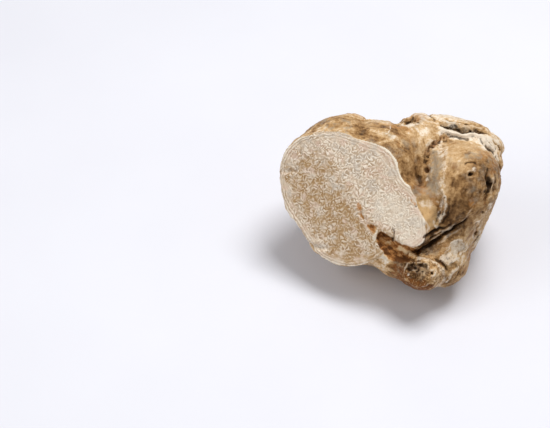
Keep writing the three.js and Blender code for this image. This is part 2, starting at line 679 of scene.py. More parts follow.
    def bump(self, height: Socket, strength: float, distance: float) -> None:
        """Give the shader a fine relief.

        Args:
            height: The relief, about 0 to 1.
            strength: How strongly it shows.
            distance: How high 1 is, in metres.
        """
        node = self.tree.nodes.new("ShaderNodeBump")
        node.inputs["Strength"].default_value = strength
        node.inputs["Distance"].default_value = distance
        self.put(node.inputs["Height"], height)
        self.put(self.shader.inputs["Normal"], node.outputs["Normal"])


@dataclass(frozen=True)
class Surface:
    """What a finish gives the shader."""

    colour: Socket
    roughness: Socket
    height: Socket


@dataclass(frozen=True)
class SkinFinish:
    """The ochre skin: mottled and waxy, with painted shade in its folds and painted highlight on its edges.
    """

    umber: Colour = seen(80, 54, 30)
    brown: Colour = seen(128, 94, 58)
    ochre: Colour = seen(174, 136, 91)
    straw: Colour = seen(208, 175, 132)
    # The palest skin, also the painted highlight on standing-out edges
    cream: Colour = seen(234, 219, 198)
    # The darkest brown: of the dark washes and of the painted shade in the creases
    dusk: Colour = seen(42, 26, 11)
    rust: Colour = seen(124, 74, 34)
    amber: Colour = seen(178, 118, 58)
    ash: Colour = seen(152, 138, 119)
    honey: Colour = seen(204, 168, 119)

    def lay(self, bench: NodeBench) -> Surface:
        """Lay the skin's nodes.

        Args:
            bench: The material's nodes.

        Returns:
            Its surface.
        """
        mottle = bench.noise(95, detail=4, rough=0.6, distort=0.8)
        blotch = bench.noise(260, detail=5, rough=0.62, distort=0.5)
        fine = bench.noise(800, detail=5, rough=0.65)
        fleck = bench.noise(1500, detail=2, rough=0.5)
        streak = bench.attribute("streak")
        fibre = bench.noise(1.1, detail=4, rough=0.65, distort=0.3, place=bench.attribute("flow", "Vector"))
        sleek = bench.attribute(Pigment.SLEEK.value)
        even = bench.math("MULTIPLY_ADD", sleek, -0.68, 1.0)
        relief = bench.attribute("relief")
        shape = bench.attribute("shape")
        tone = bench.total(
            bench.times(bench.attribute("tone"), 0.4),
            bench.times(streak, 0.08),
            bench.times(bench.swing(fibre, 0.66), even),
            bench.swing(mottle, 0.6),
            bench.times(bench.swing(blotch, 0.6), even),
            bench.times(bench.swing(fine, 0.64), even),
            bench.swing(fleck, 0.36),
            # Lighter where the surface stands out and darker in hollows: painted light and shade
            bench.times(relief, 0.07),
            bench.times(shape, 0.05),
            0.6,
        )
        stops = (
            (0.14, self.umber),
            (0.34, self.brown),
            (0.54, self.ochre),
            (0.72, self.straw),
            (0.92, self.cream),
        )
        colour = bench.ramp(tone, stops)
        grey = bench.noise(140, detail=4, rough=0.6, place=bench.leaned(30))
        colour = bench.mix(bench.fit(grey, 0.53, 0.72, 0.0, 0.55), colour, self.ash)
        warm = bench.noise(120, detail=4, rough=0.6, place=bench.leaned(70))
        colour = bench.mix(bench.fit(warm, 0.53, 0.72, 0.0, 0.5), colour, self.amber)
        speckle = bench.math("ADD", bench.swing(fine, 1.0), bench.swing(fleck, 0.5))
        for pigment, tint, most in (
            (Pigment.HONEY, self.honey, 0.9),
            (Pigment.ASH, self.ash, 0.8),
            (Pigment.RUST, self.rust, 0.85),
            (Pigment.CREAM, self.cream, 0.9),
        ):
            colour = bench.stain(colour, pigment, tint, most, speckle, 0.15)
        # Edges that stand out pale towards cream: painted highlight
        colour = bench.mix(bench.fit(relief, 0.7, 2.0, 0.0, 0.38), colour, self.cream)
        grain = bench.attribute(Pigment.GRAIN.value)
        pores = bench.times(bench.fit(fleck, 0.44, 0.3), grain)
        colour = bench.mix(bench.times(pores, 0.75), colour, self.umber)
        crumbs = bench.times(bench.fit(fleck, 0.56, 0.68), grain)
        colour = bench.mix(bench.times(crumbs, 0.5), colour, self.straw)
        colour = bench.mix(bench.fit(fleck, 0.32, 0.24, 0.0, 0.4), colour, self.umber)
        # Creases and hollows darkened towards the darkest brown: painted shade
        crease_shade = bench.fit(bench.math("ADD", relief, bench.swing(fine, 0.8)), -0.3, -1.4)
        colour = bench.mix(bench.times(crease_shade, 0.72), colour, self.dusk)
        # The dark washes in furrows, pits and hollows: dark colour and painted shade
        colour = bench.stain(colour, Pigment.DUSK, self.dusk, 0.92, speckle, 0.15)
        roughness = bench.math("MULTIPLY_ADD", sleek, -0.08, bench.fit(blotch, 0.35, 0.65, 0.38, 0.54))
        height = bench.total(bench.times(fine, 0.8), bench.times(blotch, 0.7), fleck, fibre)
        height = bench.times(height, even)
        return Surface(colour, roughness, height)


@dataclass(frozen=True)
class FleshFinish:
    """The cut flesh: pale curling veins on beige, in rings near the skin."""

    ground: Colour = seen(222, 202, 178)
    gap: Colour = seen(174, 149, 121)
    # The browner lower side, its ground and the gaps between its veins: browner flesh and painted shadow
    deep: Colour = seen(184, 150, 108)
    hollow: Colour = seen(152, 118, 80)
    blush: Colour = seen(216, 184, 164)
    chalk: Colour = seen(196, 186, 174)
    vein: Colour = seen(247, 235, 216)
    rust: Colour = seen(194, 128, 58)
    # The dark of the nicks: painted shade
    dusk: Colour = seen(84, 56, 34)
    rim: Colour = seen(242, 230, 210)
    finest: float = 0.9
    widest: float = 1.5
    waves: int = 14

    def maze(self, bench: NodeBench) -> Socket:
        """Lay waves of like spacing over each other in many directions, so that they meet in a maze.

        Args:
            bench: The material's nodes.

        Returns:
            The maze, about -2 to 2.
        """
        stir = bench.noise(460, detail=1, rough=0.5, output="Color")
        stir = bench.vector("SCALE", bench.vector("SUBTRACT", stir, (0.5, 0.5, 0.5)), 3.0 * MM)
        place = bench.vector("ADD", bench.leaned(), stir)
        chance = np.random.default_rng(5)
        crests = []
        for i in range(self.waves):
            angle = math.pi * (i + 0.8 * chance.random()) / self.waves
            spacing = self.finest * (self.widest / self.finest) ** chance.random()
            turns = 2 * math.pi / (spacing * MM)
            way = (turns * math.cos(angle), turns * math.sin(angle), 0.0)
            swell = bench.math("ADD", bench.vector("DOT_PRODUCT", place, way), 2 * math.pi * chance.random())
            crests.append(bench.math("SINE", swell))
        return bench.times(bench.total(*crests), 1 / math.sqrt(self.waves / 2))

    def lay(self, bench: NodeBench) -> Surface:
        """Lay the flesh's nodes.

        Args:
            bench: The material's nodes.

        Returns:
            Its surface.
        """
        cloud = bench.noise(130, detail=4, rough=0.6)
        patch = bench.noise(360, detail=2, rough=0.5)
        fine = bench.noise(1800, detail=3, rough=0.6)
        depth = bench.attribute("depth")
        maze = self.maze(bench)
        sway = bench.math("ADD", bench.times(maze, 0.55), bench.swing(patch, 11.0))
        rings = bench.math("SINE", bench.math("MULTIPLY_ADD", depth, 6.6, sway))
        rings = bench.times(rings, bench.fit(cloud, 0.35, 0.65, 0.3, 1.2))
        inward = bench.fit(bench.math("ADD", depth, bench.swing(cloud, 6.0)), 1.5, 3.8)
        line = bench.blend(inward, rings, maze)
        vein = bench.fit(line, -0.2, 1.2)
        between = bench.fit(line, 0.2, -1.2)
        # The flesh's browner lower side: browner flesh and painted shadow
        tan = bench.attribute(Pigment.TAN.value)
        hue = bench.noise(240, detail=3, rough=0.6, place=bench.leaned(40))
        ground = bench.mix(bench.fit(hue, 0.5, 0.63, 0.0, 0.6), self.ground, self.blush)
        ground = bench.mix(bench.fit(hue, 0.5, 0.37, 0.0, 0.6), ground, self.chalk)
        stain = bench.times(bench.swing(patch, 1.6), bench.math("MULTIPLY_ADD", tan, 2.5, 1.0))
        browned_and_shaded = bench.math("MULTIPLY_ADD", tan, 0.8, stain)
        browned_and_shaded = bench.fit(bench.math("ADD", browned_and_shaded, bench.swing(cloud, 1.6)), -0.2, 1.3)
        ground = bench.mix(browned_and_shaded, ground, self.deep)
        gap = bench.mix(browned_and_shaded, self.gap, self.hollow)
        clear = bench.fit(bench.noise(480, detail=1, rough=0.5), 0.3, 0.68, 0.35, 1.0)
        ground = bench.mix(bench.times(between, bench.times(clear, 0.85)), ground, gap)
        faint = bench.times(clear, bench.math("MULTIPLY_ADD", tan, -0.42, 0.92))
        colour = bench.mix(bench.times(vein, faint), ground, self.vein)
        border = bench.fit(bench.math("ADD", depth, bench.swing(fine, 0.5)), 0.75, 0.25)
        colour = bench.mix(border, colour, self.rim)
        speckle = bench.math("ADD", bench.swing(fine, 0.7), bench.swing(patch, 0.7))
        for pigment, tint, most in (
            (Pigment.CREAM, self.rim, 0.72),
            (Pigment.RUST, self.rust, 0.9),
            # Dark in the nicks: painted shade
            (Pigment.DUSK, self.dusk, 0.95),
        ):
            colour = bench.stain(colour, pigment, tint, most, speckle, 0.2)
        roughness = bench.fit(vein, 0.0, 1.0, 0.62, 0.5)
        height = bench.math("ADD", bench.times(vein, 0.5), bench.times(fine, 0.6))
        return Surface(colour, roughness, height)


@dataclass(frozen=True)
class TornFinish:
    """The torn tissue in the split: rusty fibres, dark between them."""

    dark: Colour = seen(94, 58, 30)
    rust: Colour = seen(152, 100, 54)
    orange: Colour = seen(188, 134, 80)
    pale: Colour = seen(226, 194, 150)

    def lay(self, bench: NodeBench) -> Surface:
        """Lay the torn tissue's nodes.

        Args:
            bench: The material's nodes.

        Returns:
            Its surface.
        """
        fibre = bench.noise(900, detail=4, rough=0.6, distort=0.6, place=bench.leaned(38, (0.32, 1, 0.6)))
        cloud = bench.noise(330, detail=4, rough=0.6)
        fine = bench.noise(1700, detail=3, rough=0.6)
        relief = bench.attribute("relief")
        tone = bench.total(
            bench.swing(fibre, 1.4),
            bench.swing(cloud, 1.3),
            bench.swing(fine, 0.5),
            # Lighter where the fibres stand out and darker between them: painted light and shade
            bench.times(relief, 0.12),
            bench.times(bench.attribute("tone"), 0.4),
            0.45,
        )
        stops = ((0.15, self.dark), (0.42, self.rust), (0.64, self.orange), (0.92, self.pale))
        roughness = bench.fit(cloud, 0.3, 0.7, 0.45, 0.65)
        return Surface(bench.ramp(tone, stops), roughness, bench.math("ADD", fibre, fine))


# Lines of the skin that more than one fold or wash follows
SCAR_RIM: Path = (
    (18.8, -14), (20.6, -12.4), (23.3, -12.5), (24.3, -14.1), (23.7, -16.1), (21, -17.8), (20.9, -19),
    (19.5, -20.1), (17.5, -20.9), (16.4, -19.5), (15.1, -18.8), (16.5, -16.9), (18.3, -15.4),
    (18.8, -14),
)
SCAR_PATCH: Path = ((20.4, -15.6), (20.8, -14.5), (22.2, -14.5))
FURROW_RIDGE: Path = (
    (9.8, -13.8), (12.9, -11.5), (17.5, -8.9), (21.6, -6.9), (23.7, -5.1), (24.9, -2.8), (26.8, -0.9),
)
VALLEY_RIDGE: Path = ((17.4, 20.8), (17.8, 17), (16.8, 12.4), (16.1, 8))
FOOT_RIDGE: Path = ((21.4, -21.5), (19.6, -23.1), (18, -25.7), (17.5, -27.2))
SEAM: Path = ((17, 23.9), (14.4, 22.5), (12, 20.4), (10.6, 17.6))


@dataclass
class TruffleBody:
    """The whole truffle: grown lumps, shaved side, split, folds, skin and flesh."""

    lobes: tuple[Lobe, ...] = (
        Lobe((-16.5, 4, 0), (27, 21, 23), -35),
        Lobe((-17, -6, 0), (17, 15.5, 20), -20),
        Lobe((-19.5, 15.5, -5), (16.5, 16.5, 18), 0),
        Lobe((-5.5, 14.5, -3), (17, 15, 19), -14),
        Lobe((0, -3, 6), (13, 13.5, 14), -40),
        Lobe((3.5, -8.8, 8), (7.5, 7, 11), 0),
        Lobe((8.5, 20, -6), (11, 12.5, 16), 0),
        Lobe((20, 2, -7), (15, 28.5, 21), -19),
        Lobe((22, 7, 6), (14.5, 15, 14), -10),
        Lobe((21, 24, -6), (18, 7, 13), -14),
        Lobe((16, -18, -3), (10, 11.5, 13), -15),
        Lobe((8, -23.5, 6), (8, 6.5, 9), -10),
        Lobe((0, -20, 0), (12, 5.5, 9), -25),
        Lobe((1, -3, -14), (28, 20, 19), 0),
        Lobe((-17, 5, -17), (17, 15, 11), 20),
        Lobe((12, 11, -20), (16, 13, 11), -25),
    )
    melt: float = 3.0
    strokes: tuple[BladeStroke, ...] = (
        BladeStroke((-14, 2.5, 9), 20, 9),
        BladeStroke((-10.5, -8, 8.5), 27, 14),
    )
    splits: tuple[Split, ...] = (
        Split(
            ((-11.3, -6.4), (-9.5, -6.5), (-7.0, -7.7)),
            ((-11.2, -7.8), (-10.2, -9.6), (-8.9, -11.5)),
            0.9,
            0.3,
        ),
        Split(
            (
                (-7.0, -9.0), (-5.6, -9.3), (-3.2, -10.6), (-1.4, -12.2), (1.1, -13.4), (4.2, -14.5),
                (8.8, -15.7),
            ),
            (
                (-7.9, -12.6), (-6.9, -15.4), (-5.6, -17.3), (-3.0, -19.4), (0.5, -20.4), (4.0, -19.8),
                (8.0, -18.0),
            ),
            4.6,
            1.3,
        ),
    )
    hollows: tuple[Lobe, ...] = (
        Lobe((10.4, -0.6, 19), (5.4, 8.6, 5.6), 28),
        Lobe((6.4, 5.4, 17.5), (3.0, 3.4, 4.0), 28),
    )
    coarse: float = 0.8
    voxel: float = 0.445
    lumpy: float = 0.35
    knobbly: float = 0.2
    uneven: float = 0.2
    fibrous: float = 0.55
    grainy: float = 0.22
    cut_edge: Point2 = (-0.3, -0.06)
    skin_edge: Point2 = (0.8, 1.6)
    knob_at: Point3 = (9.5, -25.0, 0.0)
    knob_edge: Point2 = (8.5, 7.5)
    gloss: float = 0.06
    bump_strength: float = 0.5
    bump_height: float = 0.4 * MM
    swells: tuple[Fold, ...] = (
        # Where the head's right side stands out, and where it falls back below
        Fold(Trail(((90, 17), (95, 21), (99, 26))), 3.2, -1.7, 0.0, 0.0, 0.2),
        Fold(Trail(((84, 21), (77, 16), (72, 10), (68, 2), (66, -8), (64, -14))), 7.0, 2.6, 0.0, 0.0, 0.1),
        # Where the foot falls back under the knob
        Fold(Trail(((25, -34), (30, -35.5), (35, -34))), 2.6, 2.0, 0.0, 0.0, 0.2),
        # Where the shoulder stands out, and where it falls back to the left
        Fold(Trail(((212, 47), (221, 44), (230, 41))), 3.4, -1.3, 0.0, 0.0, 0.2),
        Fold(Trail(((236, 35), (242, 31), (248, 26))), 3.0, 1.3, 0.0, 0.0, 0.2),
    )
    folds: tuple[Fold, ...] = (
        # The furrow under the head, with its thin parallel creases
        Fold(
            (
                (7.2, -16.7), (10.1, -14.6), (13.4, -12.8), (16.5, -10.5), (20.1, -8.2), (23.2, -6.1),
                (26.5, -3.6),
            ),
            0.75, 1.5, 0.12, 0.05,
        ),
        Fold(((9.5, -11.3), (13.4, -9.2), (16.6, -7.8), (19.4, -6.4)), 0.5, 0.9, 0.1, 0.1),
        Fold(((11, -12.1), (14.5, -10.3), (17.5, -8.5)), 0.35, 0.7, 0.1, 0.1),
        Fold(FURROW_RIDGE, 0.4, -0.5, 0.0, 0.0),
        # The recess at the head's right side
        Fold(((31.2, 15), (31.9, 11.5), (32.6, 7.4), (31.9, 4), (30.8, 0.5)), 1.1, 1.0, 0.05, 0.1, 0.3),
        Fold(((34, 12.5), (34.6, 8.5), (34, 4)), 0.4, 0.6, 0.3, 0.3),
        # The cave under the crown's left end, and the crown's layers
        Fold(((2, 29.4), (3.8, 29.9), (5.6, 30.1), (6.8, 30)), 1.2, 2.6, 0.25, 0.1),
        Fold(
            (
                (13.5, 29.6), (14.7, 28.8), (16.5, 27.9), (18.8, 27.4), (21.7, 26.6), (24.2, 25.9),
                (26.8, 26.3), (29.1, 25.7), (32, 24.6),
            ),
            0.8, 1.8, 0.2, 0.2, 0.6,
        ),
        Fold(((15.5, 30.4), (19.1, 29.1), (22.9, 28.3), (26.8, 27.9), (29.4, 27.3)), 0.3, 0.5, 0.3, 0.3),
        Fold(((24.2, 30), (28.9, 29.1), (31.4, 27.3), (34.5, 24.2)), 0.3, 0.5, 0.3, 0.3),
        Fold(((10.5, 32), (11.8, 31.2), (13.2, 30.4)), 0.35, 0.6, 0.3, 0.2),
        Fold(
            (
                (15.5, 27.5), (18.6, 25.5), (21.6, 25.1), (25.5, 24.8), (28.9, 23.9), (30.7, 22.4),
                (33.2, 19.3), (35.3, 16.2),
            ),
            0.5, -0.6, 0.0, 0.0,
        ),
        Fold(((19.1, 24.4), (21.4, 23.9), (24.2, 23.1), (25.8, 22.6)), 0.45, 0.6, 0.2, 0.2),
        Fold(((29.4, 23), (31.4, 20.3), (33.5, 18.3), (35, 16.2)), 0.35, 0.7, 0.5, 0.4),
        Fold(((33.5, 22.5), (35.2, 20.6), (36.4, 18.6)), 0.35, 0.4, 0.3, 0.3),
        # The flap's lip, and the groove behind it
        Fold(
            (
                (15.1, 7.3), (16, 5.2), (17.3, 2.6), (17.4, -0.4), (16.2, -3.8), (14.9, -6.1),
                (13.9, -8.2),
            ),
            0.8, -0.9, 0.0, 0.0,
        ),
        Fold(((18.3, 2.6), (18.5, -0.4), (17.3, -4), (15.4, -7)), 0.35, 0.3, 0.0, 0.0),
        # The crusty seam above the valley
        Fold(
            (
                (17.5, 24.2), (16.5, 23.6), (14.4, 22.5), (12.9, 21.4), (11.4, 19.6), (10.5, 17.1),
                (9.8, 14),
            ),
            0.9, 0.45, 0.4, 0.4, 1.2,
        ),
        Fold(VALLEY_RIDGE, 0.7, -0.4, 0.0, 0.0),
        # The eyelid and the brow
        Fold(((23.2, 13.1), (24.6, 14.7), (26.8, 14.8), (29.2, 13.7)), 0.3, 0.45, 0.3, 0.1, 0.1),
        Fold(((18, 16.2), (20.5, 15.7), (24, 15.9), (29, 16.2), (31.5, 15.2)), 1.3, -0.5, 0.0, 0.0),
        Fold(((18.5, 13), (21, 11.5)), 1.5, 0.4, 0.0, 0.0),
        # The foot's ridge and wrinkles
        Fold(FOOT_RIDGE, 0.45, -0.5, 0.2, 0.2),
        Fold(((24.5, -20.5), (22, -23.5), (20, -26.5)), 0.4, 0.4, 0.2, 0.2),
        Fold(((26, -17), (24.4, -20), (22.6, -26)), 0.4, 0.4, 0.2, 0.2),
        # The knob's edge towards the root
        Fold(((9, -19.4), (12.4, -19.9), (15.4, -22), (16.6, -24.5)), 0.6, -0.4, 0.0, 0.2),
        Fold(((13, -18.4), (16, -20.4), (17.6, -23.4)), 0.6, 0.7, 0.0, 0.1),
        # The flake in the split
        Fold(((1.2, -15.2), (3.4, -16.4), (5.4, -17.9), (7, -18.8)), 0.8, -1.5, 0.0, 0.3),
        # The scar's rim
        Fold(SCAR_RIM, 0.3, -0.28, 0.0, 0.0, 0.5),
        # Nicks in the flesh
        Fold(((-1.9, -8.5), (-1.6, -10.2), (-1.4, -12.3)), 0.3, 0.9, 0.0, 0.0),
        Fold(((-13.4, -0.2), (-12.8, -2.6), (-11.5, -5.6)), 0.35, 0.6, 0.1, 0.1),
        # The saddle and the shoulder
        Fold(((-9.1, 20.8), (-4.6, 22), (-1.5, 23), (2, 23.6)), 0.8, -0.35, 0.0, 0.0),
        Fold(((9, 28), (9.6, 24), (9.3, 20), (8.6, 15)), 0.9, 0.22, 0.2, 0.2),
        Fold(((6.5, 26), (7, 22), (6.8, 17.5)), 0.7, 0.18, 0.2, 0.2),
        Fold(((27.8, -6), (28.2, -10), (26.4, -14.5), (26, -18)), 0.5, 0.6, 0.4, 0.3),
        # The furrows round the sides and the back
        Fold(
            Trail(((196, 66), (186, 48), (193, 30), (181, 12), (176, -8), (168, -26))),
            1.5, 2.0, 0.25, 0.35, 0.7,
        ),
        Fold(Trail(((190, 36), (174, 38), (158, 30), (142, 34), (128, 28))), 1.1, 1.3, 0.3, 0.2, 0.8),
        Fold(Trail(((184, 10), (200, 4), (216, 12), (234, 6), (252, 14))), 1.2, 1.4, 0.2, 0.35, 0.8),
        Fold(Trail(((150, 31), (148, 16), (154, 2), (146, -12))), 0.8, 0.9, 0.25, 0.25, 0.9),
        Fold(Trail(((226, 10), (230, -4), (222, -18))), 0.7, 0.8, 0.25, 0.25, 0.9),
        Fold(Trail(((72, -22), (84, -10), (98, -12), (112, -2), (124, -8))), 1.0, 1.1, 0.3, 0.2, 0.8),
        Fold(Trail(((100, -11), (104, -26), (98, -38))), 0.7, 0.8, 0.2, 0.2, 0.9),
        Fold(Trail(((94, 24), (103, 22), (112, 28), (121, 22))), 0.7, 0.8, 0.3, 0.2, 0.9),
        Fold(Trail(((262, -12), (278, -6), (292, -16), (308, -14))), 0.9, 0.9, 0.3, 0.2, 0.8),
        Fold(Trail(((236, 40), (226, 48), (214, 46), (204, 52))), 0.8, 0.9, 0.2, 0.3, 0.9),
        Fold(Trail(((262, 30), (270, 18), (264, 6))), 0.6, 0.6, 0.3, 0.3, 0.9),
        Fold(Trail(((320, -30), (336, -24), (350, -30))), 0.7, 0.7, 0.3, 0.2, 0.9),
    )
    pits: tuple[Pit, ...] = (
        # The eye, the recess and the valley
        Pit(((25.9, 10.9),), 0.8, 1.8, 0.05),
        Pit(((32.6, 7.2),), 1.0, 1.8, 0.0),
        Pit(((10.5, 12.4),), 1.0, 1.1),
        # The crusty seam
        Pit(((16.4, 23.2),), 0.4, 0.3),
        Pit(((14.9, 22.2),), 0.4, 0.3),
        Pit(((13.2, 22.4),), 0.35, 0.25),
        Pit(((12.6, 20.4),), 0.4, 0.3),
        Pit(((11.0, 19.6),), 0.35, 0.25),
        Pit(((10.6, 16.6),), 0.4, 0.3),
        # Beside the smooth flap
        Pit(((8.0, 7.3),), 1.3, 0.7, 0.0),
        Pit(((6.6, -0.4),), 0.35, 0.7, 0.05),
        # The knob
        Pit(((12.2, -23.9),), 0.45, 1.1),
        Pit(((8.8, -23.6),), 0.4, 0.8),
        Pit(((5.0, -21.2),), 0.8, 1.1),
        Pit(((3.9, -22.7),), 0.6, 0.8),
        Pit(((6.3, -22.1),), 0.5, 0.8),
        Pit(((8.3, -20.9),), 0.6, 0.8),
        Pit(((10.3, -21.4),), 0.5, 0.6),
        Pit(((7.2, -23.4),), 0.4, 0.5),
        Pit(((10.8, -26.2),), 0.4, 0.4),
        Pit(((13.6, -26),), 0.35, 0.4),
        # The flap's lip, and below the head
        Pit(((16.9, 2.9),), 0.35, 0.6, 0.1),
        Pit(((16.6, -2.0),), 0.4, 0.6, 0.1),
        Pit(((27.8, -10.2),), 0.8, 0.8),
        Pit(((30.4, -2.5),), 0.6, 0.6),
        # The sides and the back
        Pit(Trail(((160, 14),)), 3.6, 1.3),
        Pit(Trail(((232, 24),)), 3.2, 1.1),
        Pit(Trail(((114, 10),)), 3.0, 0.9),
        Pit(Trail(((270, -4),)), 2.8, 0.8),
        Pit(Trail(((205, -14),)), 3.0, 1.0),
        Pit(Trail(((92, 6),)), 1.4, 0.9),
        Pit(Trail(((140, 20),)), 1.1, 1.0),
        Pit(Trail(((215, 30),)), 1.2, 0.9),
        Pit(Trail(((248, -8),)), 1.0, 0.8),
    )
    weathering: Weathering = Weathering()
    blooms: tuple[Bloom, ...] = (
        Bloom(Pigment.LIGHT, 11, 0.4, 0.0, 0.6, 71.0),
        Bloom(Pigment.SHADE, 9, 0.8, 0.0, 0.6, 83.0),
        Bloom(Pigment.SHADE, 4, 0.5, 0.1, 0.6, 87.0),
        Bloom(Pigment.ASH, 8, 0.6, 0.2, 0.8, 91.0),
        Bloom(Pigment.RUST, 7, 0.6, 0.25, 0.85, 97.0),
        Bloom(Pigment.CREAM, 5, 0.45, 0.35, 0.9, 103.0),
        Bloom(Pigment.GRAIN, 9, 0.5, 0.2, 0.7, 109.0),
        Bloom(Pigment.DUSK, 2.5, 0.5, 0.55, 0.9, 113.0),
    )
    wrinkles: tuple[Wrinkles, ...] = (
        Wrinkles(
            (
                (-34, 27), (-25.3, 29.1), (-16.5, 28.4), (-6, 26.3), (2.8, 22.1), (6.7, 15.7),
                (8.1, 8.7),
            ),
            8, 2.0, 5, 0.16,
        ),
        Wrinkles(((8, 31), (15, 30), (22, 28.5), (29, 27), (35, 22), (37, 15)), 5, 0.85, 6, 0.26, 0.8),
        Wrinkles(((6, 30), (8.5, 25), (9, 19), (8.6, 12)), 4, 1.6, 6, 0.16),
        Wrinkles(((24.9, 14), (23.2, 7), (19.3, -1.8), (15.1, -8.1)), 7, 1.8, 10, 0.2),
        Wrinkles(((9, -15), (16.5, -9.6), (25, -3.5), (30, 2)), 3, 0.8, 8, 0.22, 0.7),
        Wrinkles(((33, 2), (28.4, -5), (25.6, -11), (22, -22)), 7, 1.4, 8, 0.22, 0.4),
        Wrinkles(((36, 18), (36.5, 10), (33.5, 1)), 4, 0.9, 8, 0.26, 0.6),
        Wrinkles(((-8, -18), (-3, -20.5), (2, -24)), 4, 1.2, 5, 0.15),
        Wrinkles(Trail(((204, 40), (225, 32), (250, 30), (275, 22))), 12, 1.7, 6, 0.16),
        Wrinkles(Trail(((200, -6), (222, -2), (250, -6), (280, 2), (310, -20))), 9, 1.5, 6, 0.16),
        Wrinkles(Trail(((180, 40), (160, 40), (140, 36), (118, 40))), 9, 1.5, 6, 0.16),
        Wrinkles(Trail(((172, 4), (150, 0), (128, 6), (104, 0), (80, 6))), 11, 1.4, 6, 0.17, 0.35),
        Wrinkles(Trail(((165, -30), (130, -34), (95, -30), (60, -36))), 10, 1.5, 6, 0.15),
    )
    washes: tuple[Wash, ...] = (
        # Broad lights and shades of the skin and the torn tissue: their own tone, and in places painted
        # light and shade
        # The crown's top and front ridge: pale skin and painted highlight
        Wash(Pigment.LIGHT, ((9, 31), (15, 30.5), (21, 29.4), (27, 28.6), (33, 25)), 3.0, 0.3),
        Wash(Pigment.LIGHT, ((16, 26.5), (22, 24.6), (29, 23.4), (35, 17)), 2.0, 0.9),
        Wash(Pigment.LIGHT, ((4, 28.6), (8.5, 28), (10, 24), (9.6, 20)), 3.2, 0.26),
        Wash(Pigment.LIGHT, ((14.5, 20), (14, 15.7), (13, 11.5), (13.2, 6.6)), 2.4, 0.08),
        # The head's top: painted light
        Wash(Pigment.LIGHT, ((18, 19), (23, 19), (28, 18)), 3.4, 0.04),
        Wash(Pigment.LIGHT, ((-9, 20.8), (-4.6, 22), (-1.5, 23)), 0.7, 0.5),
        Wash(Pigment.LIGHT, ((-7.4, -19.5), (-3.2, -21.2), (1.1, -24)), 2.4, 0.6),
        # The head's front wall: darker skin and painted shade
        Wash(Pigment.SHADE, ((25, 6), (23.5, 1), (19.5, -4)), 5.5, 1.0),
        Wash(Pigment.SHADE, ((29.5, 14), (29.5, 6), (28, 0), (24, -3)), 3.5, 0.7),
        Wash(Pigment.SHADE, ((9, -14), (11, -14), (17, -10.4), (24, -6)), 3.0, 1.25),
        Wash(Pigment.SHADE, ((34, 18), (34.5, 12), (34, 7), (31, 0)), 3.0, 0.6),
        Wash(Pigment.SHADE, ((14, -14.6), (20, -10.8), (25, -7.4)), 2.0, 0.4),
        Wash(Pigment.LIGHT, ((30, -5), (27, -13), (24, -23)), 6, 0.3),
        Wash(Pigment.SHADE, ((-9, 21.5), (-3, 19), (2.5, 17), (5, 11), (7.5, 7.5)), 3.2, 0.62),
        # The shoulder's upper left edge: painted shade
        Wash(Pigment.SHADE, ((-34, 25), (-29, 28.6), (-22, 31)), 2.0, 0.4),
        Wash(Pigment.SHADE, ((-14.5, 27.5), (-11.2, 26)), 1.4, 0.5),
        Wash(Pigment.SHADE, ((-4.3, 26.6), (-1, 26.3)), 1.3, 0.5),
        Wash(Pigment.SHADE, ((18, -21), (22, -24), (19, -27)), 2.5, 0.6),
        # The knob's underside: darker skin and painted shade
        Wash(Pigment.SHADE, ((1, -22.5), (5, -21), (4, -26), (8, -28)), 4.0, 1.3),
        # The cave under the crown's left end: painted shade
        Wash(Pigment.SHADE, ((2.4, 29.6), (4.4, 30), (6.6, 30.2)), 1.2, 0.6, 0.3, 0.0),
        Wash(Pigment.LIGHT, ((1.4, -15.3), (3.6, -16.5), (5.6, -17.7)), 1.2, 1.9),
        Wash(Pigment.LIGHT, ((-10.6, -7.4), (-9, -9)), 1.8, 0.7),
        Wash(Pigment.LIGHT, ((-5.4, -11.4), (-2.4, -13.2), (0.4, -15)), 1.2, 0.6),
        Wash(Pigment.LIGHT, ((-5.8, -17.4), (-3.2, -19.8)), 1.2, 1.2),
        Wash(
            Pigment.SHADE,
            ((-7.1, -13.3), (-5.6, -14.8), (-4.1, -16.5), (-0.5, -18.4), (1.4, -19.2)),
            0.8, 1.0,
        ),
        # Smooth places
        Wash(Pigment.SLEEK, ((24, 18), (23, 8), (20, -2)), 8.0, 0.9, 0.2, 0.1),
        Wash(Pigment.SLEEK, ((9.6, 4), (11.3, -1.5), (11.6, -6)), 3.4, 1.0, 0.2, 0.1),
        Wash(Pigment.SLEEK, ((9, 27), (9.4, 20), (7, 11)), 3.6, 0.6, 0.3, 0.2),
        Wash(Pigment.SLEEK, ((3.5, 15.5), (6, 10.5), (8, 7)), 3.0, 0.8, 0.3, 0.2),
        # Cream edges and scuffs, on the crown's ridges also painted highlight
        # The crown's ridges: cream skin and painted highlight
        Wash(
            Pigment.CREAM,
            (
                (16.5, 26.6), (18.6, 25.4), (21.6, 25), (25.5, 24.7), (28.9, 23.8), (30.7, 22.3),
                (33.2, 19.2), (35.3, 16.1),
            ),
            0.6, 1.0,
        ),
        Wash(Pigment.CREAM, ((10, 32), (15, 32), (20, 30.4), (26, 30), (31, 28.4), (34, 25)), 0.6, 0.9),
        Wash(Pigment.CREAM, ((29.5, 24.5), (32.4, 21.5), (34.4, 18.6)), 0.8, 0.8),
        Wash(Pigment.CREAM, ((2, 28), (5, 27.6), (7.6, 28.4)), 0.5, 0.9),
        Wash(
            Pigment.CREAM,
            (
                (15.4, 7), (16.2, 5), (17.3, 2.6), (17.4, -0.4), (16.2, -3.8), (14.9, -6.1),
                (13.9, -8.2),
            ),
            0.5, 0.85, 0.8, 0.7,
        ),
        Wash(Pigment.CREAM, ((16.4, 4), (15.8, 0), (14.9, -3.4), (12.8, -7)), 1.1, 0.6, 0.8, 0.7),
        Wash(Pigment.CREAM, FURROW_RIDGE, 0.22, 0.25),
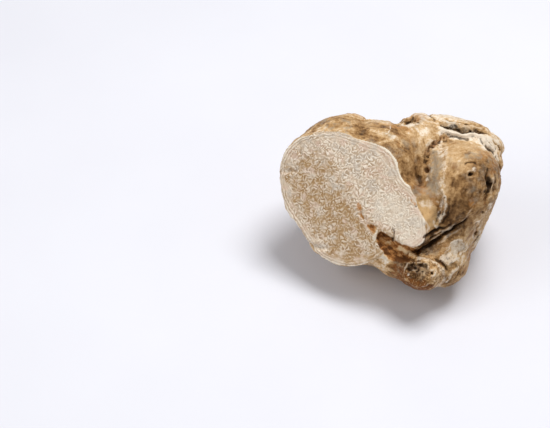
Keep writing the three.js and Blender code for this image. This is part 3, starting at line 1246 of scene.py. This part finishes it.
        Wash(Pigment.CREAM, VALLEY_RIDGE, 0.4, 0.5),
        Wash(Pigment.CREAM, ((15.6, 21.5), (14.6, 19.6), (15.6, 17.6)), 1.0, 0.7),
        Wash(Pigment.CREAM, SCAR_RIM, 0.26, 0.85, 0.3, 0.6),
        Wash(Pigment.CREAM, ((17.2, -18.7), (19.1, -18.4), (19.6, -17)), 1.7, 0.72, 0.25, 0.3, 0.12),
        Wash(Pigment.CREAM, SCAR_PATCH, 1.9, 0.6, 0.25, 0.2, 0.12),
        Wash(
            Pigment.CREAM,
            (
                (7.5, -19), (11.4, -19.2), (14.4, -21.5), (16.2, -23.4), (16.7, -26.4), (14.9, -28.2),
                (12.4, -30),
            ),
            0.5, 0.62,
        ),
        Wash(Pigment.CREAM, FOOT_RIDGE, 0.4, 0.8),
        Wash(Pigment.CREAM, ((4.1, -24.4),), 0.5, 0.9),
        Wash(Pigment.CREAM, ((-2.6, 27.8), (-2.9, 25.1)), 0.2, 0.7),
        Wash(Pigment.CREAM, ((27.1, 12.5),), 0.8, 0.9, 0.3),
        Wash(Pigment.CREAM, ((10.6, 9),), 0.8, 0.8),
        Wash(
            Pigment.CREAM,
            ((5.9, 0.8), (7.7, -2), (9.5, -5.1), (11, -7.1), (10.1, -10.2), (9.5, -12.3)),
            0.4, 0.8,
        ),
        Wash(Pigment.CREAM, ((32.8, 0.5), (32.6, -1)), 0.6, 0.7),
        Wash(Pigment.CREAM, ((-7.1, -8.7), (-7.6, -10.3), (-8.4, -11.9)), 0.7, 0.9, 0.2),
        # The smooth flap
        Wash(Pigment.HONEY, ((9.8, -0.2), (11.3, -2.4), (11.8, -5.4)), 2.9, 1.0, 0.3, 0.1),
        Wash(Pigment.CREAM, ((9.2, 0.4), (11.8, 0.4)), 1.6, 0.58),
        # Grey places, with the scuffs and shades beside them
        Wash(Pigment.ASH, ((13.7, 17), (13.3, 13.4), (12.5, 9), (12, 5.5)), 2.3, 0.85, 0.5),
        Wash(Pigment.CREAM, ((15.4, 9), (14.4, 4.6), (13.8, 1)), 1.5, 0.4, 0.8, 0.6),
        Wash(Pigment.CREAM, ((17.2, 19.5), (16.5, 14), (16.3, 9), (16.7, 5)), 0.9, 0.6, 0.9, 0.6),
        Wash(Pigment.ASH, ((25, 17.9), (28.3, 17.5)), 1.7, 0.75),
        Wash(Pigment.ASH, ((33.6, 16), (34.2, 11), (33.6, 6)), 2.2, 0.5),
        Wash(Pigment.ASH, ((18, 19), (23, 19.6), (28, 18.6)), 3.2, 0.3),
        Wash(Pigment.ASH, ((30.4, 13), (29.6, 8), (28.4, 3)), 2.4, 0.42),
        Wash(Pigment.ASH, ((4.2, 6.3), (5, 5.1), (7, 4.2)), 1.2, 0.9),
        Wash(Pigment.ASH, ((6.6, 5.4), (9, 5), (11.6, 4.4)), 1.6, 0.62, 0.6),
        Wash(Pigment.SHADE, ((7.2, 8.6), (8.4, 6.4)), 1.4, 0.7),
        Wash(Pigment.ASH, ((-24, 28), (-18, 27.6)), 2.6, 0.6, 0.8, 0.8),
        # The shoulder's upper left edge: grey skin and painted sheen where it is seen at a grazing angle
        Wash(Pigment.ASH, ((-34, 25.6), (-30.2, 28.4), (-24.8, 30.5)), 1.4, 0.7, 0.8, 0.8),
        Wash(Pigment.ASH, ((24.5, 26.2), (27.5, 26.3)), 1.0, 0.8),
        Wash(Pigment.ASH, ((9.5, -16), (13, -16)), 1.8, 0.5),
        Wash(Pigment.ASH, SCAR_PATCH, 1.9, 0.7, 0.25, 0.2, 0.12),
        Wash(Pigment.ASH, ((-2, 19.5), (1, 18)), 2.0, 0.45),
        Wash(Pigment.ASH, ((28.3, 2.6), (26, 1)), 1.0, 0.6),
        # Rusty places
        Wash(Pigment.RUST, SEAM, 1.0, 0.72, 0.9),
        Wash(Pigment.RUST, ((-13.4, -0.1), (-13.2, -0.8)), 0.7, 0.9),
        Wash(Pigment.RUST, ((-13.2, -1), (-12.4, -3.8), (-11.5, -6)), 0.35, 0.8),
        Wash(Pigment.RUST, ((-13.6, -1), (-12.8, -4.4), (-11.8, -6.4)), 1.3, 0.42, 0.8, 0.6, 0.8),
        Wash(Pigment.RUST, ((1, -23.6), (3, -26), (5.5, -28), (9.5, -29.4)), 2.6, 1.1, 0.7, 0.5),
        Wash(Pigment.RUST, ((12.4, -2), (12.3, -5), (10.8, -8)), 1.3, 0.45),
        Wash(Pigment.RUST, ((7, 8.6), (8.2, 6.6)), 1.2, 0.5),
        Wash(Pigment.RUST, ((10.5, 12.4),), 1.0, 0.9),
        Wash(Pigment.RUST, ((14.5, 9.1),), 0.8, 0.6),
        Wash(Pigment.RUST, ((20, 14), (21.6, 13)), 1.2, 0.6),
        Wash(Pigment.RUST, ((15.5, -20.5),), 0.9, 0.9),
        Wash(Pigment.RUST, ((31, 3.6), (30.6, 0)), 0.5, 0.7),
        Wash(Pigment.RUST, ((27.5, -10), (26, -14), (25, -18)), 1.6, 0.6, 0.9),
        Wash(Pigment.RUST, ((3.5, 24.2), (-0.6, 24.2)), 0.4, 0.5),
        Wash(Pigment.RUST, ((5.5, 1.4), (6.4, 0.4)), 0.6, 0.7),
        # Dark places: dark colour and painted shade in the furrows, pits, recess and cave, with the rust and
        # shades beside them
        Wash(
            Pigment.DUSK,
            ((8.5, -15.6), (10.1, -14.6), (13.4, -12.8), (16.5, -10.5), (20.1, -8.2), (23.2, -6.1)),
            0.5, 0.6,
        ),
        Wash(Pigment.DUSK, ((9.5, -11.3), (13.4, -9.2), (17, -7.6)), 0.6, 1.0, 0.9),
        Wash(Pigment.DUSK, ((10, -14), (14.4, -11.4), (19, -8.6), (23.4, -5.8)), 1.7, 0.52, 0.6, 0.4),
        Wash(Pigment.DUSK, ((32.2, 9.8), (32.5, 7), (32, 5)), 0.9, 1.0),
        Wash(Pigment.DUSK, ((31.9, 13), (32, 10)), 0.4, 0.8),
        # The cave under the crown's left end: painted shade
        Wash(Pigment.DUSK, ((1.8, 29.4), (3.6, 30.1), (5.6, 30.9)), 0.5, 0.9),
        Wash(Pigment.RUST, ((4, 29.6), (6.4, 29.8)), 1.0, 0.7),
        Wash(Pigment.DUSK, ((16.5, 27.9), (18.8, 27.4), (21.7, 26.6), (24.2, 25.9)), 0.7, 0.9, 0.9, 0.6),
        Wash(Pigment.DUSK, ((24.2, 25.9), (26.8, 26.2), (29.1, 25.7), (31.5, 24.9)), 0.55, 0.75, 0.9, 0.6),
        Wash(Pigment.DUSK, ((25.8, 10.8),), 0.8, 1.0, 0.2, 0.0, 0.3),
        Wash(Pigment.DUSK, ((6.6, -0.4),), 0.4, 1.0, 0.1, 0.0),
        Wash(Pigment.DUSK, ((3.9, -22.6), (5, -21.2), (8.3, -20.9), (10.3, -21.3)), 1.0, 0.85, 0.9, 0.6),
        Wash(Pigment.DUSK, ((6.3, -22.1), (8.8, -23.6)), 0.5, 0.8, 0.9, 0.6),
        Wash(Pigment.DUSK, ((12.2, -23.9),), 0.5, 1.0, 0.1, 0.0),
        Wash(Pigment.SHADE, ((23.4, 10.2), (22.6, 6.4), (21.9, 2.9)), 1.0, 0.9),
        Wash(Pigment.SHADE, ((28.3, 2.8), (27.6, 0.6)), 0.9, 0.8),
        Wash(Pigment.SHADE, ((24.6, 2.6), (23, 0)), 0.8, 0.6),
        # A painted shadow under the scar's lower edge
        Wash(Pigment.DUSK, ((18.8, -21), (20.4, -21.2)), 0.8, 0.7),
        Wash(Pigment.DUSK, ((16.9, 2.9),), 0.3, 0.9, 0.1),
        Wash(Pigment.DUSK, ((-1.5, -8.8), (-1.3, -10.2), (-1.2, -12.2)), 0.28, 0.9, 0.1, 0.1),
        Wash(Pigment.DUSK, ((16.8, -1.2), (16.4, -2.8)), 0.3, 0.8, 0.1),
        # The flesh's pale side, its brown side of browner flesh and painted shadow, and the grains of the
        # knob, the scar and the seam
        Wash(Pigment.CREAM, ((-4, 0), (1, -5), (4, -9)), 6.0, 0.66, 0.3, 0.2),
        Wash(Pigment.TAN, ((-30, 8), (-22, -4), (-14, -14), (-9, -16)), 9.0, 1.0, 0.3, 0.2),
        Wash(Pigment.GRAIN, ((6, -24), (12, -24.5)), 5.8, 1.0, 0.2, 0.1),
        Wash(Pigment.GRAIN, ((17.6, -18.5),), 2.2, 0.8, 0.2, 0.1),
        Wash(Pigment.GRAIN, SEAM, 1.9, 1.0),
    )
    piece: bpy.types.Object = field(init=False)

    def gaps(self, points: np.ndarray) -> np.ndarray:
        """How far points are outside each lump, negative inside it."""
        result = []
        for lobe in self.lobes:
            turn = Matrix.Rotation(math.radians(-lobe.turn), 3, "Z")
            local = (points - np.array(lobe.at)) @ np.array(turn).T
            half = np.array(lobe.half)
            scaled = np.linalg.norm(local / half, axis=1)
            slope = np.linalg.norm(local / half**2, axis=1)
            result.append(scaled * (scaled - 1) / np.maximum(slope, 1e-6))
        return np.array(result)

    def form(self, points: np.ndarray) -> np.ndarray:
        """How far points are outside the uncut truffle, negative inside it."""
        result = np.full(len(points), 1e3)
        for gap in self.gaps(points):
            near = np.maximum(self.melt - np.abs(result - gap), 0) / self.melt
            result = np.minimum(result, gap) - near**2 * self.melt / 4
        return result

    def cut_height(self, points: np.ndarray) -> np.ndarray:
        """How far points are above the shaved side, negative below it."""
        heights = [(points - np.array(stroke.at)) @ stroke.normal for stroke in self.strokes]
        return np.max(heights, axis=0)

    def grow(self) -> None:
        """Add a ball for each lump, join them and melt them into one skin."""
        balls = [self.ball(lobe) for lobe in self.lobes]
        bpy.ops.object.select_all(action="DESELECT")
        for ball in balls:
            ball.select_set(True)
        bpy.context.view_layer.objects.active = balls[0]
        bpy.ops.object.join()
        self.piece = bpy.context.active_object
        self.piece.name = "truffle_body"
        self.piece.data.name = "truffle_body"
        bpy.ops.object.transform_apply(location=True, rotation=True, scale=True)
        self.remesh(self.coarse)
        clay = Clay(self.piece)
        clay.relax(14, np.ones(len(clay.points)))
        clay.push(self.lumpy * clay.rough(9, 2, 3.7) + self.knobbly * clay.rough(4.5, 2, 11.2))

    def ball(self, lobe: Lobe) -> bpy.types.Object:
        """Add a ball the size of a lump."""
        bpy.ops.object.select_all(action="DESELECT")
        bpy.ops.mesh.primitive_ico_sphere_add(
            subdivisions=5,
            radius=1.0,
            location=[v * MM for v in lobe.at],
            rotation=(0, 0, math.radians(lobe.turn)),
            scale=[v * MM for v in lobe.half],
        )
        return bpy.context.active_object

    def remesh(self, size: float) -> None:
        """Give the body an even net of faces of a size in millimetres."""
        modifier = self.piece.modifiers.new("even_net", "REMESH")
        modifier.mode = "VOXEL"
        modifier.voxel_size = size * MM
        modifier.adaptivity = 0.0
        bpy.context.view_layer.objects.active = self.piece
        bpy.ops.object.modifier_apply(modifier=modifier.name)

    def shave(self) -> None:
        """Take off what the blade's strokes took off."""
        for stroke in self.strokes:
            self.cut_flat([v * MM for v in stroke.at], stroke.normal)

    def cut_flat(self, place: Sequence[float], out: Sequence[float]) -> None:
        """Cut the body flat and close it.

        Args:
            place: A point on the cut, in metres.
            out: The direction of what is taken off.
        """
        bpy.context.view_layer.objects.active = self.piece
        bpy.ops.object.mode_set(mode="EDIT")
        bpy.ops.mesh.select_all(action="SELECT")
        bpy.ops.mesh.bisect(plane_co=place, plane_no=out, use_fill=True, clear_outer=True, threshold=1e-6)
        bpy.ops.mesh.select_all(action="DESELECT")
        bpy.ops.object.mode_set(mode="OBJECT")

    def open_splits(self) -> None:
        """Take the splits' wedges and the smooth hollows out of the body."""
        for split in self.splits:
            self.take_out(self.wedge(split))
        for hollow in self.hollows:
            self.take_out(self.ball(hollow))

    def wedge(self, split: Split) -> bpy.types.Object:
        """Make the wedge that a split takes out: steep under its upper lip, shallow at its lower.

        Args:
            split: The split.

        Returns:
            The wedge.
        """
        count = len(split.upper)
        upper = np.array(split.upper)
        lower = np.array(split.lower)
        bpy.ops.object.select_all(action="DESELECT")
        bpy.ops.mesh.primitive_grid_add(x_subdivisions=count - 1, y_subdivisions=1, size=0.01)
        wedge = bpy.context.active_object
        bpy.ops.object.mode_set(mode="EDIT")
        bpy.ops.mesh.select_all(action="SELECT")
        bpy.ops.mesh.extrude_region_move()
        bpy.ops.object.mode_set(mode="OBJECT")
        taper = split.even + (1 - split.even) * np.sin(np.linspace(0.15, 0.9, count) * math.pi)
        deep = split.depth * taper
        rows = (
            (upper + split.upper_inset * (lower - upper), -deep),
            (lower + split.lower_inset * (upper - lower), -split.shallow * deep),
            (upper, np.full(count, split.clear)),
            (lower, np.full(count, split.clear)),
        )
        stroke = self.strokes[1]
        places = [
            (x * MM, y * MM, (stroke.height(x, y) + rise) * MM)
            for row, rises in rows
            for (x, y), rise in zip(row, rises)
        ]
        for vertex, place in zip(wedge.data.vertices, places):
            vertex.co = place
        bpy.ops.object.mode_set(mode="EDIT")
        bpy.ops.mesh.select_all(action="SELECT")
        bpy.ops.mesh.normals_make_consistent(inside=False)
        bpy.ops.object.mode_set(mode="OBJECT")
        return wedge

    def take_out(self, tool: bpy.types.Object) -> None:
        """Cut one object out of the body and remove it."""
        modifier = self.piece.modifiers.new("take_out", "BOOLEAN")
        modifier.operation = "DIFFERENCE"
        modifier.solver = "EXACT"
        modifier.object = tool
        bpy.context.view_layer.objects.active = self.piece
        bpy.ops.object.modifier_apply(modifier=modifier.name)
        bpy.data.objects.remove(tool, do_unlink=True)

    def sculpt(self) -> None:
        """Swell, weather, wrinkle, fold and pit the body, paint the pigments and keep them."""
        clay = Clay(self.piece)
        cut = ease(self.cut_height(clay.points), *self.cut_edge)
        depth = -self.form(clay.points)
        inside = ease(depth, *self.skin_edge) * (1 - cut)
        skin = (1 - cut) * (1 - inside)
        clay.relax(8, skin + 0.5 * inside)
        self.press(clay, self.swells)
        clay.look()
        torn = (1 - cut) * self.within_splits(clay)
        fibres = rough_field(clay.points * np.array([0.55, 1.0, 0.8]), 1.6, 3, 8.3)
        clay.push(skin * self.uneven * clay.rough(5.5, 4, 5.1) + torn * self.fibrous * fibres)
        clay.streak = rough_field(clay.points * GRAIN_RUN, 1.6, 3, 2.2)
        self.weather(clay, skin)
        self.crinkle(clay, skin)
        self.press(clay, self.folds)
        self.pock(clay)
        clay.relax(1, np.full(len(clay.points), 0.3) * (1 - cut))
        self.colour(clay)
        clay.push(clay.paint[Pigment.GRAIN] * self.grainy * clay.rough(1.1, 2, 6.6))
        self.store(clay, cut, depth, torn)

    def within_splits(self, clay: Clay) -> np.ndarray:
        """Where the points are seen in the splits' openings, 0 to 1."""
        result = np.zeros(len(clay.points))
        for split in self.splits:
            near = clay.beside(split.upper, 8)
            below = ease(near.across, 0.2, -0.4)
            up = np.full((len(near.index), 3), TOWARDS_EYE)
            above, share, _ = Line(split.lower).measure(clay.view[near.index], up)
            inner = (near.share > 0) & (near.share < 1) | (share > 0) & (share < 1)
            mask = below * ease(above, -0.7, split.fade) * inner
            result[near.index] = np.maximum(result[near.index], mask)
        return result

    def weather(self, clay: Clay, skin: np.ndarray) -> None:
        """Furrow, crack and pit the sides that aren't seen from in front.

        Args:
            clay: The body's points.
            skin: Where the skin is.
        """
        wear = self.weathering
        hidden = (1 - clay.front) * skin
        nearest = np.sort(self.gaps(clay.points), axis=0)
        seam = np.exp(-(((nearest[1] - nearest[0]) / wear.seam_width) ** 2))
        seam *= ease(clay.rough(8, 2, 33.0), -0.4, 0.4)
        run = clay.rough(10, 3, 21.4)
        gate = ease(clay.rough(7, 2, 61.0), 0.0, 0.4)
        crack = gate * ease(np.abs(run), 0.02 + 0.07 * gate, 0.0)
        swell = wear.swell * clay.rough(7.5, 2, 15.5) + wear.billow * ease(np.abs(run), 0.0, 0.4)
        clay.push(hidden * (swell - wear.seam_depth * seam - wear.crack_depth * crack))
        chance = np.random.default_rng(wear.seed)
        amount = np.zeros(len(clay.points))
        for middle in chance.choice(np.flatnonzero(hidden > 0.7), wear.pits, replace=False):
            gap = np.linalg.norm(clay.stirred - clay.stirred[middle], axis=1)
            radius = wear.pit_least + wear.pit_spread * chance.random() ** 2
            amount -= (0.5 + 0.4 * chance.random()) * radius * np.exp(-((gap / radius) ** 2))
        clay.push(amount)

    def crinkle(self, clay: Clay, skin: np.ndarray) -> None:
        """Run the wrinkles over the skin.

        Args:
            clay: The body's points.
            skin: Where the skin is.
        """
        amount = np.zeros(len(clay.points))
        strongest = np.full(len(clay.points), 0.2)
        for number, wrinkle in enumerate(self.wrinkles):
            near = clay.beside(wrinkle.path, wrinkle.reach)
            out = clay.points[near.index, 2] / 9
            flow = np.column_stack([near.along / wrinkle.length, near.across / wrinkle.pitch, out])
            swell = rough_field(flow, 1.0, 2, 2.9)
            ridges = wrinkle.crisp * (1 - 2 * np.abs(swell)) + (1 - wrinkle.crisp) * 1.3 * swell
            share = ease(np.abs(near.across), wrinkle.reach, 0.4 * wrinkle.reach) * near.facing
            amount[near.index] += skin[near.index] * share * wrinkle.height * ridges
            clay.streak[near.index] += share * (ridges - clay.streak[near.index])
            leads = share > strongest[near.index]
            strongest[near.index[leads]] = share[leads]
            clay.flow[near.index[leads]] = (flow * (1.2, wrinkle.pitch, 3.0) + 40.0 * number)[leads]
        clay.push(amount)

    def press(self, clay: Clay, folds: tuple[Fold, ...]) -> None:
        """Press folds into the body, or raise them on it.

        Args:
            clay: The body's points.
            folds: The folds.
        """
        amount = np.zeros(len(clay.points))
        for fold in folds:
            near = clay.beside(fold.path, 4 * fold.width)
            places = np.column_stack([near.along, near.across * 0.2, near.along * 0])
            wander = rough_field(places, 2.6, 3, fold.width * 7)
            across = near.across + 0.5 * fold.ragged * fold.width * wander
            taper = np.sqrt(np.sin(np.pi * np.clip(near.share, 0.02, 0.98))) * (1 + fold.ragged * wander)
            groove = np.exp(-((across / fold.width) ** 2))
            lips = np.where(across > 0, fold.left_lip, fold.right_lip)
            swell = lips * np.exp(-(((np.abs(across) - 1.9 * fold.width) / (0.9 * fold.width)) ** 2))
            amount[near.index] += near.facing * fold.depth * taper * (swell - groove)
        clay.push(amount)

    def pock(self, clay: Clay) -> None:
        """Press the pits into the body."""
        amount = np.zeros(len(clay.points))
        for pit in self.pits:
            near = clay.beside(pit.at, 4 * pit.radius)
            gap = np.abs(near.across)
            hole = -pit.depth * np.exp(-((gap / pit.radius) ** 2))
            rim = pit.rim * np.exp(-(((gap - 1.6 * pit.radius) / (0.6 * pit.radius)) ** 2))
            amount[near.index] += near.facing * (hole + rim)
        clay.push(amount)

    def colour(self, clay: Clay) -> None:
        """Lay the washes, and the blooms on the sides that aren't seen from in front."""
        border = clay.rough(2.4, 3, 14.0)
        cloud = clay.rough(1.6, 3, 31.0)
        for wash in self.washes:
            near = clay.beside(wash.path, 2.2 * wash.reach)
            edge = np.abs(near.across) + wash.ragged * wash.reach * border[near.index]
            mark = wash.strength * ease(edge, (1 + wash.soft) * wash.reach, (1 - wash.soft) * wash.reach)
            mark *= near.facing
            mark *= np.clip(1 - wash.patchy * (0.5 - 1.2 * cloud[near.index]), 0, 1.2)
            paint = clay.paint[wash.pigment]
            paint[near.index] = np.maximum(paint[near.index], mark)
        for bloom in self.blooms:
            patches = ease(clay.rough(bloom.size, 4, bloom.seed), bloom.low, bloom.high)
            paint = clay.paint[bloom.pigment]
            np.maximum(paint, (1 - clay.front) * bloom.strength * patches, out=paint)

    def store(self, clay: Clay, cut: np.ndarray, depth: np.ndarray, torn: np.ndarray) -> None:
        """Keep the paint and the body's hollows and edges as point attributes.

        Args:
            clay: The body's points.
            cut: Where the shaved side is.
            depth: How deep under the skin each point is, in millimetres.
            torn: Where the torn tissue is.
        """
        # The knob is skin, also where it reaches the blade's plane
        knob = ease(np.linalg.norm(clay.view - np.array(self.knob_at), axis=1), *self.knob_edge)
        # The light and shade washes: the skin's own tone, and in places painted light and shade
        tone = clay.paint.pop(Pigment.LIGHT) - clay.paint.pop(Pigment.SHADE)
        values = {pigment.value: mark for pigment, mark in clay.paint.items()}
        values |= {
            "flesh": cut * (1 - knob),
            "torn": torn,
            "depth": depth,
            "tone": tone,
            "streak": clay.streak,
            # What stands out and what lies in hollows, which the finishes paint lighter and darker: painted
            # light and shade
            "relief": clay.hollows(10, 0.14),
            "shape": clay.hollows(70, 0.7),
        }
        for name, numbers in values.items():
            attribute = self.piece.data.attributes.new(name, "FLOAT", "POINT")
            attribute.data.foreach_set("value", numbers.astype(np.float32))
        flow = self.piece.data.attributes.new("flow", "FLOAT_VECTOR", "POINT")
        flow.data.foreach_set("vector", clay.flow.astype(np.float32).ravel())

    def lean(self) -> None:
        """Lean the body back on to the table and flatten the spot that it rests on."""
        self.piece.rotation_euler = (math.radians(LEAN_DEG), 0, 0)
        self.piece.location = [v * MM for v in MIDDLE_MM]
        bpy.ops.object.select_all(action="DESELECT")
        self.piece.select_set(True)
        bpy.context.view_layer.objects.active = self.piece
        bpy.ops.object.transform_apply(location=True, rotation=True, scale=True)
        self.cut_flat((0, 0, 0), (0, 0, -1))
        bpy.ops.object.shade_smooth()

    def dress(self) -> None:
        """Give the body its skin, flesh and torn tissue."""
        bench = NodeBench("truffle_skin_and_flesh")
        skin = SkinFinish().lay(bench)
        flesh = FleshFinish().lay(bench)
        torn = TornFinish().lay(bench)
        bare = bench.fit(bench.attribute("flesh"), 0.3, 0.7)
        open_tissue = bench.fit(bench.attribute("torn"), 0.25, 0.75)
        colour = bench.mix(bare, skin.colour, flesh.colour)
        roughness = bench.blend(bare, skin.roughness, flesh.roughness)
        height = bench.blend(bare, skin.height, flesh.height)
        bench.shader.inputs["Specular IOR Level"].default_value = self.gloss
        bench.put(bench.shader.inputs["Base Color"], bench.mix(open_tissue, colour, torn.colour))
        bench.put(bench.shader.inputs["Roughness"], bench.blend(open_tissue, roughness, torn.roughness))
        height = bench.blend(open_tissue, height, torn.height)
        bench.bump(height, self.bump_strength, self.bump_height)
        self.piece.data.materials.clear()
        self.piece.data.materials.append(bench.material)

    def build(self) -> bpy.types.Object:
        """Make the whole truffle.

        Returns:
            The finished piece.
        """
        self.grow()
        self.shave()
        self.open_splits()
        self.remesh(self.voxel)
        self.sculpt()
        self.lean()
        self.dress()
        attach(self.piece, "root")
        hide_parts("truffle")
        return self.piece


@dataclass(frozen=True)
class Lamp:
    """A soft square light: its name, its place and side in metres, and its power in watts."""

    name: str
    at: Point3
    side: float
    power: float


@dataclass
class Studio:
    """A pale floor, soft light and the camera."""

    floor_size: float = 6.0
    floor_colour: Colour = seen(232, 232, 238)
    floor_shade: Colour = seen(224, 224, 231)
    floor_roughness: float = 0.8
    sky: float = 0.31
    sky_colour: Colour = (0.97, 0.98, 1.0, 1.0)
    lamps: tuple[Lamp, ...] = (
        Lamp("key", (0.16, 0.1, 0.75), 0.35, 5.0),
        Lamp("fill", (-0.6, -0.25, 0.55), 0.6, 2.2),
    )
    aim: Point3 = (0, 0, 0.02)
    lens: float = 100.0
    sensor: float = 36.0

    def lay_floor(self) -> None:
        """Lay the floor."""
        bpy.ops.object.select_all(action="DESELECT")
        bpy.ops.mesh.primitive_plane_add(size=self.floor_size)
        floor = bpy.context.active_object
        floor.name = "floor"
        bench = NodeBench("floor_paper")
        cloud = bench.noise(14, detail=3, rough=0.5)
        colour = bench.mix(cloud, self.floor_colour, self.floor_shade)
        bench.put(bench.shader.inputs["Base Color"], colour)
        bench.shader.inputs["Roughness"].default_value = self.floor_roughness
        floor.data.materials.append(bench.material)

    def hang(self, lamp: Lamp) -> None:
        """Hang a lamp that shines at the truffle."""
        light = bpy.data.lights.new(lamp.name, "AREA")
        light.size = lamp.side
        light.energy = lamp.power
        holder = bpy.data.objects.new(lamp.name, light)
        bpy.context.scene.collection.objects.link(holder)
        holder.location = lamp.at
        way = Vector(self.aim) - Vector(lamp.at)
        holder.rotation_euler = way.to_track_quat("-Z", "Y").to_euler()

    def set_up(self) -> None:
        """Light the truffle and aim the camera."""
        scene = bpy.context.scene
        scene.view_settings.view_transform = "Standard"
        world = bpy.data.worlds.new("soft_sky")
        world.use_nodes = True
        background = world.node_tree.nodes["Background"]
        background.inputs["Color"].default_value = self.sky_colour
        background.inputs["Strength"].default_value = self.sky
        scene.world = world
        for lamp in self.lamps:
            self.hang(lamp)
        camera = bpy.data.objects.new("camera", bpy.data.cameras.new("camera"))
        scene.collection.objects.link(camera)
        camera.data.lens = self.lens
        camera.data.sensor_width = self.sensor
        camera.data.sensor_fit = "HORIZONTAL"
        camera.data.clip_start = 0.01
        lean = Matrix.Rotation(math.radians(LEAN_DEG), 3, "X")
        camera.location = (lean @ Vector(EYE_MM) + Vector(MIDDLE_MM)) * MM
        camera.rotation_euler = (math.radians(LEAN_DEG), 0, 0)
        scene.camera = camera


def main() -> None:
    """Build the truffle and its studio, and log the body's triangle count."""
    logging.basicConfig(level=logging.INFO, format="%(name)s: %(message)s")
    studio = Studio()
    studio.lay_floor()
    studio.set_up()
    piece = TruffleBody().build()
    faces = sum(len(polygon.vertices) - 2 for polygon in piece.data.polygons)
    LOG.info("%s: %d triangles", piece.name, faces)


if __name__ == "__main__":
    main()
